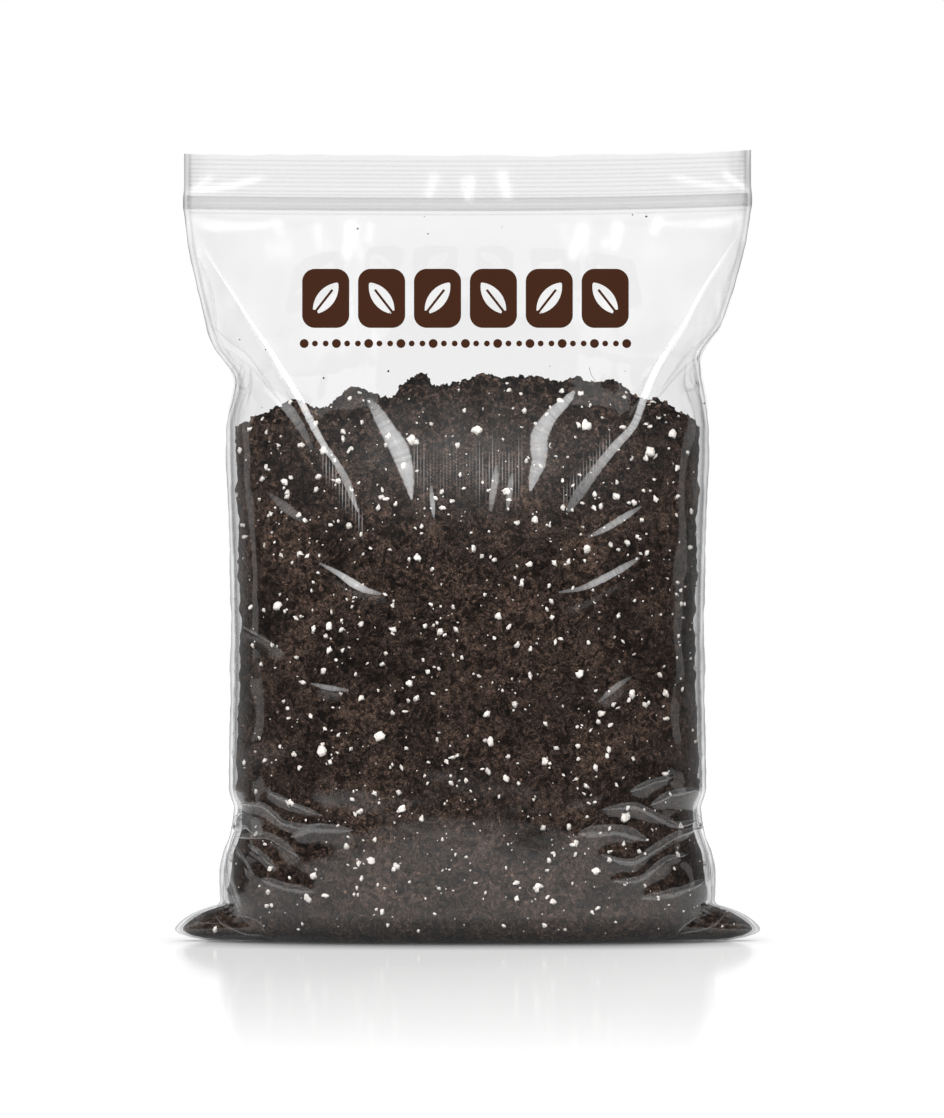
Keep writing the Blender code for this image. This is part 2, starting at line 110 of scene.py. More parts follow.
def outline_of(side):
    """(height, half width) of the bag without its ears, on the left (side -1) or the right (side 1)."""
    neck = neck_heights[side]
    shoulder = neck + shoulder_rise
    above = zip_low[2] - shoulder
    return (
        (0, foot),
        (0.25 * ear_height, body_half - 0.0026),
        (0.8 * ear_height, body_half + 0.7 * flare),
        (1.3 * ear_height, body_half + flare),
        (2 * ear_height, body_half + 0.9 * flare),
        (waist, body_half - 0.0025),
        (waist + 0.013, body_half + 0.1 * flare),
        (0.6 * fill_height, body_half - 0.1 * flare),
        (fill_height, body_half + 0.4 * flare),
        (neck, body_half - 0.003),
        (shoulder, bag_half - 0.0165),
        (shoulder + 0.45 * above, bag_half - 0.007),
        (zip_low[2] - 0.12 * above, bag_half - 0.0008),
        (zip_low[2], bag_half),
    )


EAR_OUTLINE = ((0, 0.55), (0.14, 0.89), (0.3, 1), (0.5, 0.93), (0.72, 0.79), (0.88, 0.62), (1, 0.44))
EAR_THICKNESS = ((0, 0.42), (0.2, 0.9), (0.45, 1), (0.75, 0.8), (1, 0.45), (1.35, 0))
neck_middle = (neck_heights[-1] + neck_heights[1]) / 2
shoulder_middle = neck_middle + shoulder_rise
headspace = zip_low[2] - shoulder_middle
DEPTHS = (
    (0, body_depth - 0.013),
    (0.25 * ear_height, body_depth - 0.0065),
    (0.8 * ear_height, body_depth - 0.002),
    (waist + 0.013, body_depth),
    (0.66 * fill_height, 0.94 * body_depth),
    (fill_height, 0.77 * body_depth),
    (neck_middle, 0.61 * body_depth),
    (shoulder_middle, 0.49 * body_depth),
    (shoulder_middle + 0.5 * headspace, 0.24 * body_depth),
    (below_zip, 0.07 * body_depth),
    (zip_low[2], mouth_half),
)
dome_height = 0.073
dome_half = 0.128
FULLNESS = ((0, 2.9), (fill_height, 2.5), (shoulder_middle, 2.1), (below_zip, 3), (zip_low[2], 90))
BLUNTNESS = ((0, 0.5), (fill_height, 0.6), (shoulder_middle, 0.85), (below_zip, 0.8), (zip_low[2], 0.5))


def body_width_at(x, z):
    return np.where(x > 0, smooth_curve(outline_of(1), z), smooth_curve(outline_of(-1), z))


def bag_width_at(x, z):
    """From the middle of the bag to its edge, with the ears."""
    ear = foot + (ear_reach - foot) * smooth_curve(EAR_OUTLINE, z / ear_height)
    return np.where(z < ear_height, np.maximum(body_width_at(x, z), ear), body_width_at(x, z))


def bag_depth_at(x, z, inset=0.0, gap=0.0):
    """Half the bag's thickness. A fill is narrower than the bag by the inset and thinner by the gap."""
    edge = bag_width_at(x, z) - weld - inset
    body = body_width_at(x, z) - weld - inset
    full, blunt = smooth_curve(FULLNESS, z), smooth_curve(BLUNTNESS, z)
    lens = np.clip(1 - np.abs(x / body) ** full, 0, 1) ** blunt
    dome = dome_height * np.sqrt(np.clip(1 - (x / dome_half) ** 2, 0, 1)) * 0.9 + 0.1 * dome_height
    upright = np.clip(np.maximum(z, dome), 0, waist + 0.013)
    fuller = body_depth - smooth_curve(DEPTHS, upright) + 0.0007 * (1 - upright / (waist + 0.013))
    depth = (smooth_curve(DEPTHS, z) + fuller * (z < waist + 0.013) * ease(z / 0.008) - gap) * lens
    root = body_half - 0.024
    out = np.clip((np.abs(x) - root) / np.maximum(edge - root, 1e-4), 0, 1)
    ear = (0.034 - gap) * smooth_curve(EAR_THICKNESS, z / ear_height) * (1 - out) ** 0.8
    return np.maximum(depth, ear)


def noise_at(points, size, seed=0.0, stretch=(1, 1, 1)):
    """Smooth noise from -1 to 1 at each point, with features of about this size."""
    scaled = points / (size * np.array(stretch)) + (seed * 7.31, seed * 3.17, seed * 5.53)
    return np.array([noise.noise(p) for p in scaled.tolist()])


def along_stroke(x, z, line, start, end, power=1.4):
    """How near each point is to a drawn line, 1 on it and 0 away from it. Its half width changes along it."""
    nearest, where = np.full(x.shape, 1.0), np.zeros(x.shape)
    for k, ((x0, z0), (x1, z1)) in enumerate(zip(line, line[1:])):
        x0, z0, x1, z1 = 0.001 * x0, 0.001 * z0, 0.001 * x1, 0.001 * z1
        run = (x1 - x0) ** 2 + (z1 - z0) ** 2
        t = np.clip(((x - x0) * (x1 - x0) + (z - z0) * (z1 - z0)) / run, 0, 1)
        distance = np.hypot(x - x0 - t * (x1 - x0), z - z0 - t * (z1 - z0))
        closer = distance < nearest
        nearest = np.where(closer, distance, nearest)
        where = np.where(closer, (k + t) / (len(line) - 1), where)
    half = 0.001 * (start + (end - start) * where)
    taper = np.clip(np.minimum(5 * where + 0.15, 5 * (1 - where) + 0.1), 0, 1)
    return np.exp(-((nearest / half) ** power)) * taper


# height out of the film, half width at the start and the end, then the line, all in mm
FRONT_FOLDS = (
    (1.5, 4.0, 4.5, ((-153, 401), (-129, 364), (-115, 343), (-100, 314), (-80, 290), (-64, 249), (-55, 232))),
    (1.5, 4.0, 4.5, ((156, 408), (135, 375), (116, 343), (103, 317), (90, 295), (77, 259))),
    (-1.2, 5, 5, ((-147, 346), (-127, 333), (-109, 314), (-98, 296), (-88, 275))),
    (-1.2, 5, 5, ((150, 358), (130, 342), (112, 319), (106, 300))),
    (1.1, 2.6, 2.6, ((-157, 397), (-149, 376), (-145, 353))),
    (1.1, 2.6, 2.6, ((163, 408), (156, 382), (150, 359))),
    (1.4, 8, 5, ((-55, 318), (-45, 296), (-37, 278), (-30, 254))),
    (1.4, 9, 6, ((64, 323), (51, 299), (44, 282), (37, 260))),
    (1.0, 5, 6, ((-85, 218), (-67, 206), (-42, 198))),
    (1.0, 5, 6, ((54, 192), (80, 205), (106, 221))),
    (0.9, 5, 5, ((71, 229), (87, 238), (100, 247))),
    (0.8, 4, 4, ((-89, 148), (-71, 145))),
    (0.8, 4, 4, ((77, 139), (92, 151))),
    (1.2, 3.4, 3, ((-132, 183), (-116, 174), (-106, 166))),
    (2.0, 3.2, 3.6, ((-131, 79), (-121, 79), (-113, 74), (-106, 68), (-94, 66), (-84, 68))),
    (1.5, 2.8, 3.2, ((-117, 87), (-101, 79), (-84, 72))),
    (1.6, 3.6, 4.5, ((-134, 60), (-118, 61), (-107, 56), (-98, 48))),
    (1.5, 2.4, 2.6, ((-128, 56), (-118, 49), (-111, 41))),
    (1.3, 2.2, 2.2, ((-136, 56), (-130, 48), (-124, 38))),
    (1.5, 4.5, 5, ((-120, 36), (-105, 31), (-88, 28))),
    (1.4, 5, 5.5, ((-103, 60), (-88, 65), (-66, 64))),
    (2.0, 3.6, 4.2, ((106, 78), (118, 85), (134, 88))),
    (1.5, 3.2, 3.6, ((94, 86), (107, 92), (120, 95))),
    (1.8, 4.5, 4.5, ((78, 76), (96, 78), (108, 73), (121, 67), (135, 70))),
    (1.5, 6.5, 6.5, ((64, 62), (86, 64), (105, 58))),
    (2.0, 4.5, 4.2, ((77, 50), (94, 45), (108, 53), (121, 61), (137, 66))),
    (1.5, 3.6, 3.6, ((84, 34), (98, 35), (117, 48), (128, 50))),
    (1.6, 5, 5, ((100, 24), (121, 28), (138, 35))),
)
# painted sheen (white painted highlight), half width at the start and the end, then the line, all in mm
FRONT_PAINTED_STREAKS = (
    (0.17, 3.4, 2.2, ((-67, 419), (-71, 394))),
    (0.10, 2.4, 2.4, ((-56, 418), (-58, 404))),
    (0.17, 2.6, 2.0, ((2, 445), (1, 429))),
    (0.20, 3.2, 2.4, ((19, 448), (24, 430))),
    (0.18, 3.2, 2.4, ((68, 416), (60, 394))),
    (0.18, 3.2, 2.2, ((88, 418), (85, 400))),
    (0.10, 2.4, 2.4, ((78, 403), (84, 407))),
    (0.15, 3.2, 2.2, ((113, 419), (107, 409))),
    (0.16, 1.6, 1.6, ((-160, 413), (-132, 414), (-104, 417))),
    (0.20, 2.4, 1.8, ((-163, 434), (-137, 438), (-117, 444))),
    (0.16, 1.6, 1.6, ((135, 414), (151, 416), (163, 417))),
    (0.20, 2.6, 1.8, ((148, 445), (158, 437), (164, 431))),
    (0.05, 7.0, 7.0, ((-120, 400), (-100, 402))),
    (0.16, 1.2, 1.2, ((-139, 52), (-137, 35), (-131, 15))),
    (0.14, 1.2, 1.2, ((140, 61), (143, 44), (142, 26), (138, 15))),
)


def seen_from_front(points, face):
    """Where each point lies across and up in the picture plane. The back is looked at from behind."""
    nearer = CAMERA_DISTANCE / (CAMERA_DISTANCE - np.abs(points[:, 1]))
    return -face * points[:, 0] * nearer, CAMERA_HEIGHT + (points[:, 2] - CAMERA_HEIGHT) * nearer


def film_relief(points, face):
    """How far the film stands out from its smooth form: drawn folds, puckers, side ripples and a wavy lip."""
    x, z = points[:, 0], points[:, 2]
    across, up = seen_from_front(points, face)
    wander = 0.0014 * noise_at(points, 0.02, 3)
    relief = np.zeros(x.shape)
    for height, start, end, line in FRONT_FOLDS:
        relief += 0.001 * height * along_stroke(across + wander, up + wander, line, start, end)
    from_edge = bag_width_at(x, z) - np.abs(x)
    tent = ease((z - fill_height) / 0.03) * ease((zip_low[2] - z) / 0.012)
    body = 1 - ease((z - fill_height) / 0.03)
    side = np.exp(-((from_edge / 0.03) ** 2)) * ease(from_edge / 0.006)
    relief += tent * 0.0009 * noise_at(points, 0.034, 1, (0.7, 1, 1.6))
    relief += tent * 0.00030 * noise_at(points, 0.013, 2, (0.6, 1, 1.8))
    relief += body * 0.0004 * noise_at(points, 0.034, 4, (1.2, 1, 1.0))
    relief += body * 0.00005 * noise_at(points, 0.0055, 6)
    relief += side * body * 0.0012 * noise_at(points, 0.020, 7, (1.6, 1, 1.4))
    relief += side * tent * 0.0012 * noise_at(points, 0.016, 8, (0.8, 1, 1.6))
    low = np.exp(-(((z - 0.055) / 0.035) ** 2)) * ease((np.abs(x) - 0.07) / 0.05)
    relief += low * 0.0006 * noise_at(points, 0.016, 9, (1.3, 1, 0.7))
    lip = ease((z - zip_high[2] - 0.003) / 0.003)
    relief += lip * 0.0007 * noise_at(points, 0.05, 10, (0.8, 1, 0.5))
    guard = ease(from_edge / 0.008) * ease(z / 0.012)
    return relief * guard


def film_painted_sheen(points, face):
    """How much painted sheen the film has, from 0 to 1: white paint that stands in for its highlights and
    reflections.

    It has painted highlight streaks by the mouth and at the foot of its sides, and painted haze along the
    welds and by the fill's top.
    """
    x, z = points[:, 0], points[:, 2]
    across, up = seen_from_front(points, face)
    wander = 0.0009 * noise_at(points, 0.012, 31)
    milk = np.zeros(x.shape)
    for strength, start, end, line in FRONT_PAINTED_STREAKS:
        milk = np.maximum(milk, strength * along_stroke(across + wander, up + wander, line, start, end, 1.9))
    from_edge = bag_width_at(x, z) - np.abs(x)
    waves = 0.5 + 0.5 * noise_at(points, 0.006, 34, (0.5, 1, 3.5))
    milk = np.maximum(milk, (0.04 + 0.08 * waves) * np.exp(-((from_edge / 0.0085) ** 2)) * (z < zip_low[2]))
    # Painted haze over the middle, just below the fill's top.
    painted_haze = np.exp(-(((up - 0.284) / 0.034) ** 2) - (across / 0.085) ** 2)
    milk = np.maximum(milk, painted_haze * (0.012 + 0.026 * (0.5 + 0.5 * noise_at(points, 0.012, 35))))
    milk = np.maximum(milk, 0.007 * np.exp(-(((z - fill_height - 0.02) / 0.012) ** 2)) * (0.6 + 0.6 * waves))
    return milk


def film_shade(points):
    """How much grey the film takes, from 0 to 1: two lines along each weld, over a soft band of painted
    shade, darker on the right.
    """
    x, z = points[:, 0], points[:, 2]
    from_edge = bag_width_at(x, z) - np.abs(x)
    waves = 0.5 + 0.5 * noise_at(points, 0.007, 41, (0.5, 1, 2.5))
    edge_line = 0.24 * np.exp(-((from_edge / 0.0011) ** 2))
    inner_line = 0.13 * np.exp(-(((from_edge - 0.0034) / 0.0008) ** 2))
    # Painted shade along the edges, stronger on the right, away from the key lamp.
    painted_shade_band = np.where(x > 0, 0.22, 0.12) * waves * np.exp(-((from_edge / 0.011) ** 2))
    return edge_line + inner_line + painted_shade_band


def body_ripple(z):
    """The welded edges ripple a little down the sides, and stick out where the zip's ends are crushed."""
    waves = np.array([noise.noise((1.7, 0.2, 55 * h)) + 0.5 * noise.noise((4.1, 0.2, 160 * h)) for h in z])
    crushed = np.exp(-(((z - (zip_low[2] + zip_high[2]) / 2) / 0.006) ** 4))
    return 0.0008 * waves * ease(z / 0.04) * ease((zip_low[2] - z) / 0.03) + 0.0006 * crushed


def mouth_bow(x):
    """How far the zip and the lip ride up at each end of the bag, more on the right."""
    return np.where(x > 0, 0.0030, 0.0012) * (np.abs(x) / bag_half) ** 2.2


def points_of(mesh, kind):
    """The places ("co") or the ways out ("normal") of a mesh's points."""
    values = np.empty(len(mesh.vertices) * 3)
    mesh.vertices.foreach_get(kind, values)
    return values.reshape(-1, 3)


def flat_grid(name, columns, rows):
    """A mesh of a flat grid that runs from -1 to 1 both ways, and its points."""
    bm = bmesh.new()
    bmesh.ops.create_grid(bm, x_segments=columns, y_segments=rows, size=1)
    mesh = bpy.data.meshes.new(name)
    bm.to_mesh(mesh)
    bm.free()
    return mesh, points_of(mesh, "co")


def paint(mesh, name, values):
    """Stores a value at each point of a mesh, for its material to read."""
    mesh.attributes.new(name, "FLOAT", "POINT").data.foreach_set("value", values)


def close_up(mesh, merge=0.0):
    """Merges points closer than this, turns the faces outward and shades them smooth."""
    bm = bmesh.new()
    bm.from_mesh(mesh)
    if merge:
        bmesh.ops.remove_doubles(bm, verts=bm.verts, dist=merge)
    bmesh.ops.recalc_face_normals(bm, faces=bm.faces)
    bm.to_mesh(mesh)
    bm.free()
    mesh.shade_smooth()


def add_piece(name, mesh, slot, *stands_for):
    """Puts a mesh in the scene as a piece of the bag, in place of the model's solids that are named."""
    made = bpy.data.objects.new(name, mesh)
    bpy.context.scene.collection.objects.link(made)
    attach(made, "root")
    if stands_for:
        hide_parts(*stands_for)
    return made


sheet_rows = 2 * (wall_rows + lip_rows) + base_rows
mesh, flat = flat_grid("bag_film", bag_columns, sheet_rows)
column = 0.42 * flat[:, 0] + 0.58 * np.sin(flat[:, 0] * math.pi / 2)
step = (flat[:, 1] + 1) / 2 * sheet_rows
side_rows = wall_rows + lip_rows
rows_down = np.minimum(step, sheet_rows - step)
lip_low = zip_high[2] + 0.001
in_lip = lip_low + (bag_height - 0.0035 - lip_low) * (1 - rows_down / lip_rows)
in_wall = lip_low * (1 - (rows_down - lip_rows) / wall_rows)
z = np.where(rows_down < lip_rows, in_lip, np.clip(in_wall, 0, None))
under = np.clip((step - side_rows) / base_rows, 0, 1) * 2 - 1
x = column * (bag_width_at(column, z) + body_ripple(z))
depth = bag_depth_at(x, z) + 0.00012 * (1 - np.abs(flat[:, 0]) ** 40)
depth = np.where(np.abs(flat[:, 0]) > 0.9999, 0, depth)
face = np.where(step < sheet_rows / 2, -1.0, 1.0)
y = np.where(rows_down >= side_rows, under * depth, face * depth)
points = np.column_stack([x, y, z])
mesh.vertices.foreach_set("co", points.ravel())
mesh.update()
normals = points_of(mesh, "normal")
outward = np.sign((normals * np.column_stack([x, face * 0.3, 0 * z])).sum(axis=1, keepdims=True))
relief = np.where(rows_down >= side_rows, 0, film_relief(points, face))
# Painted sheen: where the film is painted white to stand in for its highlights and haze.
milk = np.where(rows_down >= side_rows, 0, film_painted_sheen(points, face))
points += normals * np.where(outward == 0, 1, outward) * relief[:, None]
sway = 0.0016 * np.array([noise.noise((0.3, 0.9, 40 * h)) for h in z]) * np.abs(column) ** 6
points[:, 1] += sway * ease(z / 0.05) * ease((bag_height - z) / 0.05)
upper = ease((z - 0.36) / 0.06)
lip_wave = np.array([noise.noise((31 * v, 0.4, 0.2)) + 0.5 * noise.noise((83 * v, 5.4, 0.2)) for v in x])
points[:, 2] += upper * mouth_bow(x) + 0.0011 * lip_wave * ease((z - zip_high[2]) / 0.025)
points[:, 2] = np.clip(points[:, 2], 0, bag_height)
mesh.vertices.foreach_set("co", points.ravel())
paint(mesh, "milk", milk)
paint(mesh, "shade", film_shade(points))
close_up(mesh, 2e-5)
bag = add_piece("bag", mesh, "film", "bag_film")


def new_material(name):
    """A material with a Principled BSDF, and a short way to add a node and set its inputs."""
    made = bpy.data.materials.new(name)
    made.use_nodes = True
    nodes, links = made.node_tree.nodes, made.node_tree.links

    def add(kind, settings=None, **inputs):
        node = nodes.new(kind)
        for key, value in (settings or {}).items():
            setattr(node, key, value)
        for key, value in inputs.items():
            socket = node.inputs[key.replace("_", " ")]
            if isinstance(value, bpy.types.NodeSocket):
                links.new(value, socket)
            else:
                socket.default_value = value
        return node

    return made, nodes["Principled BSDF"], nodes["Material Output"], add, links


def maths(add, links, operation, first, second):
    """A Math node's result on two sockets, or on a socket and a number."""
    node = add("ShaderNodeMath", {"operation": operation})
    for socket, value in zip(node.inputs, (first, second)):
        if isinstance(value, bpy.types.NodeSocket):
            links.new(value, socket)
        else:
            socket.default_value = value
    return node.outputs["Value"]


def ranged(add, value, start, end, low, high, kind="LINEAR"):
    """A value run from low to high while it goes from start to end."""
    node = add("ShaderNodeMapRange", {"interpolation_type": kind}, Value=value)
    for name, level in zip(("From Min", "From Max", "To Min", "To Max"), (start, end, low, high)):
        node.inputs[name].default_value = level
    return node.outputs["Result"]


def film_wrinkle_group():
    """Fine wrinkles of clear film, as a height: soft creases of one size crossed by finer ones."""
    group = bpy.data.node_groups.new("film_wrinkles", "ShaderNodeTree")
    for name, value in (("Crease Scale", 90.0), ("Fine Scale", 420.0), ("Fine Share", 0.25)):
        socket = group.interface.new_socket(name, in_out="INPUT", socket_type="NodeSocketFloat")
        socket.default_value = value
    group.interface.new_socket("Height", in_out="OUTPUT", socket_type="NodeSocketFloat")
    nodes, links = group.nodes, group.links
    start, end = nodes.new("NodeGroupInput"), nodes.new("NodeGroupOutput")
    place = nodes.new("ShaderNodeTexCoord")
    crease = nodes.new("ShaderNodeTexNoise")
    crease.inputs["Detail"].default_value = 2.0
    crease.inputs["Distortion"].default_value = 0.6
    fine = nodes.new("ShaderNodeTexNoise")
    fine.inputs["Detail"].default_value = 3.0
    for texture, scale in ((crease, "Crease Scale"), (fine, "Fine Scale")):
        links.new(place.outputs["Object"], texture.inputs["Vector"])
        links.new(start.outputs[scale], texture.inputs["Scale"])
    blend = nodes.new("ShaderNodeMix")
    links.new(start.outputs["Fine Share"], blend.inputs["Factor"])
    links.new(crease.outputs["Fac"], blend.inputs["A"])
    links.new(fine.outputs["Fac"], blend.inputs["B"])
    links.new(blend.outputs["Result"], end.inputs["Height"])
    return group


film_wrinkles = film_wrinkle_group()
FILM_INDEX = 1.5


def clear_plastic(name, tint, grazing_shade, roughness, wrinkle, haze_and_painted_sheen=None, mirror=1.5):
    """Clear plastic, thin enough to see straight through. It mirrors alike from inside and outside. Seen
    edge-on it greys towards the grazing shade, a painted shade, and a white layer adds even haze or painted
    sheen.
    """
    made, shader, output, add, links = new_material(name)
    shader.inputs["Base Color"].default_value = (1, 1, 1, 1)
    shader.inputs["Metallic"].default_value = 1.0
    shader.inputs["Roughness"].default_value = roughness
    wrinkles = add("ShaderNodeGroup", {"node_tree": film_wrinkles})
    bump = add("ShaderNodeBump", Strength=1.0, Distance=wrinkle, Height=wrinkles.outputs["Height"])
    links.new(bump.outputs["Normal"], shader.inputs["Normal"])
    side = add("ShaderNodeNewGeometry")
    index = ranged(add, side.outputs["Backfacing"], 0, 1, FILM_INDEX, 1 / FILM_INDEX)
    fresnel = add("ShaderNodeFresnel", IOR=index, Normal=bump.outputs["Normal"])
    two_sides = maths(add, links, "MULTIPLY", fresnel.outputs["Fac"], mirror)
    two_sides.node.use_clamp = True
    # Painted shade: seen edge-on the film lets less through, towards the grazing shade.
    facing = add("ShaderNodeLayerWeight", Blend=0.35)
    through = add("ShaderNodeMix", {"data_type": "RGBA"})
    through.inputs["A"].default_value = (*tint, 1)
    through.inputs["B"].default_value = (*grazing_shade, 1)
    links.new(facing.outputs["Facing"], through.inputs["Factor"])
    # The shade attribute paints grey on the film: painted shade along its edges.
    shaded = add("ShaderNodeMix", {"data_type": "RGBA"})
    shaded.inputs["B"].default_value = (0, 0, 0, 1)
    links.new(through.outputs["Result"], shaded.inputs["A"])
    links.new(add("ShaderNodeAttribute", {"attribute_name": "shade"}).outputs["Fac"], shaded.inputs["Factor"])
    clear = add("ShaderNodeBsdfTransparent", Color=shaded.outputs["Result"])
    mix = add("ShaderNodeMixShader")
    links.new(two_sides, mix.inputs["Fac"])
    links.new(clear.outputs["BSDF"], mix.inputs[1])
    links.new(shader.outputs["BSDF"], mix.inputs[2])
    if haze_and_painted_sheen is None:
        links.new(mix.outputs["Shader"], output.inputs["Surface"])
        return made
    # A white diffuse layer: an even haze where it is given as a number, and painted sheen, standing in for
    # highlights, where it is read from an attribute.
    white_haze_and_sheen = add("ShaderNodeBsdfDiffuse", Color=(0.93, 0.935, 0.94, 1))
    haze_and_sheen_mix = add("ShaderNodeMixShader")
    if isinstance(haze_and_painted_sheen, str):
        drawn = add("ShaderNodeAttribute", {"attribute_name": haze_and_painted_sheen})
        links.new(drawn.outputs["Fac"], haze_and_sheen_mix.inputs["Fac"])
    else:
        haze_and_sheen_mix.inputs["Fac"].default_value = haze_and_painted_sheen
    links.new(mix.outputs["Shader"], haze_and_sheen_mix.inputs[1])
    links.new(white_haze_and_sheen.outputs["BSDF"], haze_and_sheen_mix.inputs[2])
    links.new(haze_and_sheen_mix.outputs["Shader"], output.inputs["Surface"])
    return made


# The film greys where it is seen edge-on, a painted shade, and is painted white by its painted sheen
# attribute.
clear_film = clear_plastic("clear_film", (0.992,) * 3, (0.66, 0.66, 0.67), 0.07, 0.00003, "milk")
bag.data.materials.append(clear_film)
bag_surface = BVHTree.FromObject(bag, bpy.context.evaluated_depsgraph_get())

# Where the full bag gathers at its corners and its neck, the film folds over itself into narrow tucks.
# Each tuck is a flattened tube of the same film that runs out into the sheet at both ends.
# half width and rise in mm, then the line
FRONT_TUCKS = (
    (1.7, 0.9, ((-131, 79), (-121, 79), (-113, 74), (-106, 68), (-94, 66), (-84, 68))),
    (1.5, 0.8, ((-117, 87), (-101, 79), (-84, 72))),
    (4.6, 1.6, ((-138, 68), (-129, 69), (-119, 62))),
    (2.1, 1.0, ((-134, 60), (-118, 61), (-107, 56), (-98, 48))),
    (1.4, 0.8, ((-128, 56), (-118, 49), (-111, 41))),
    (1.0, 0.7, ((-136, 56), (-130, 48), (-124, 38))),
    (2.4, 0.9, ((-120, 36), (-105, 31), (-88, 28))),
    (2.8, 0.9, ((-103, 60), (-88, 65), (-66, 64))),
    (1.1, 0.8, ((-140, 52), (-138, 35), (-131, 13))),
    (2.0, 1.0, ((106, 78), (118, 85), (134, 88))),
    (1.7, 0.8, ((94, 86), (107, 92), (120, 95))),
    (2.4, 1.0, ((78, 76), (96, 78), (108, 73), (121, 67), (135, 70))),
    (3.6, 1.1, ((64, 62), (86, 64), (105, 58))),
    (2.4, 1.1, ((77, 50), (94, 45), (108, 53), (121, 61), (138, 66))),
    (1.9, 0.9, ((84, 34), (98, 35), (117, 48), (128, 50))),
    (2.6, 1.0, ((100, 24), (121, 28), (138, 35))),
    (1.1, 0.8, ((141, 63), (143, 44), (142, 26), (137, 13))),
    (0.9, 0.8, ((-147, 346), (-138, 339), (-129, 330), (-132, 321))),
    (0.8, 0.7, ((-146, 347), (-126, 333), (-107, 311))),
    (0.8, 0.8, ((-127, 331), (-126, 325), (-128, 320), (-132, 321), (-133, 328))),
    (0.8, 0.7, ((-132, 321), (-136, 311), (-138, 296))),
    (0.7, 0.6, ((-128, 320), (-132, 308), (-134, 294))),
    (0.8, 0.7, ((-157, 398), (-149, 376), (-145, 352))),
    (0.8, 0.7, ((149, 358), (140, 350), (129, 342), (112, 319))),
    (0.8, 0.7, ((150, 359), (142, 346), (135, 336))),
    (0.8, 0.7, ((135, 337), (139, 322), (140, 304))),
    (0.7, 0.6, ((131, 338), (134, 322), (136, 300))),
    (0.7, 0.6, ((127, 336), (126, 325), (129, 312))),
    (0.7, 0.6, ((161, 408), (155, 382), (149, 359))),
    (0.8, 0.6, ((-132, 183), (-116, 174), (-106, 166))),
    (0.6, 0.5, ((-147, 16), (-143, 10), (-137, 7), (-128, 3.5), (-118, 3))),
    (0.6, 0.5, ((-139, 15), (-129, 14), (-120, 10), (-117, 3))),
    (0.6, 0.5, ((121, 3), (125, 8), (132, 13), (141, 16))),
    (0.6, 0.5, ((123, 4), (139, 7), (148, 13), (150, 17))),
)


def smooth_line(line, count):
    """Evenly spread points on a smooth curve through the corners of a drawn line, in metres."""
    corners = np.array(line, float) * 0.001
    ends = np.concatenate([[0], np.cumsum(np.hypot(*np.diff(corners, axis=0).T))])
    at = np.linspace(0, ends[-1], count)
    return np.column_stack([smooth_curve(list(zip(ends, corners[:, k])), at) for k in (0, 1)]), ends[-1]


def on_film(across, up, face):
    """The point of the bag's front (face -1) or back (face 1) at a place in the picture, and the way out."""
    eye = Vector((0, face * CAMERA_DISTANCE, CAMERA_HEIGHT))
    aim = Vector((-face * across, 0, up)) - eye
    hit, normal, _, _ = bag_surface.ray_cast(eye, aim)
    if hit is None:
        hit, normal, _, _ = bag_surface.find_nearest(eye + aim)
    return hit, normal if normal.dot(aim) < 0 else -normal


def tuck_mesh(name, tucks, faces_out):
    """Flattened tubes along drawn lines on the film."""
    vertices, polygons = [], []
    arch = np.linspace(0, math.pi, 9)
    for face in faces_out:
        for half, rise, line in tucks:
            length = smooth_line(line, 8)[1]
            count = max(12, int(length / 0.0016))
            spots, _ = smooth_line(line, count)
            seats = [on_film(a, u, face) for a, u in spots]
            start = len(vertices)
            for k, (seat, out) in enumerate(seats):
                before, after = seats[max(k - 1, 0)][0], seats[min(k + 1, count - 1)][0]
                along = (after - before).normalized()
                across = along.cross(out).normalized()
                share = k / (count - 1)
                swell = min(1, 5 * share, 4 * (1 - share)) ** 0.6
                wobble = 1 + 0.25 * noise.noise((share * 5, half, line[0][0] * 0.1))
                for angle in arch:
                    wide = math.cos(angle) * 0.001 * half * swell * wobble
                    high = math.sin(angle) ** 0.8 * 0.001 * rise * swell + 0.00008
                    vertices.append(tuple(seat + across * wide + out * high))
            for k in range(count - 1):
                for j in range(len(arch) - 1):
                    a = start + k * len(arch) + j
                    polygons.append((a, a + 1, a + 1 + len(arch), a + len(arch)))
    mesh = bpy.data.meshes.new(name)
    mesh.from_pydata(vertices, [], polygons)
    close_up(mesh, 1e-5)
    return mesh


tucks = add_piece("film_tucks", tuck_mesh("film_tucks", FRONT_TUCKS, (-1, 1)), "film")
# The tucks grey where they are seen edge-on, a painted shade.
tucks.data.materials.append(clear_plastic("tuck_film", (0.97,) * 3, (0.66, 0.66, 0.67), 0.09, 0.00002, 0.032))
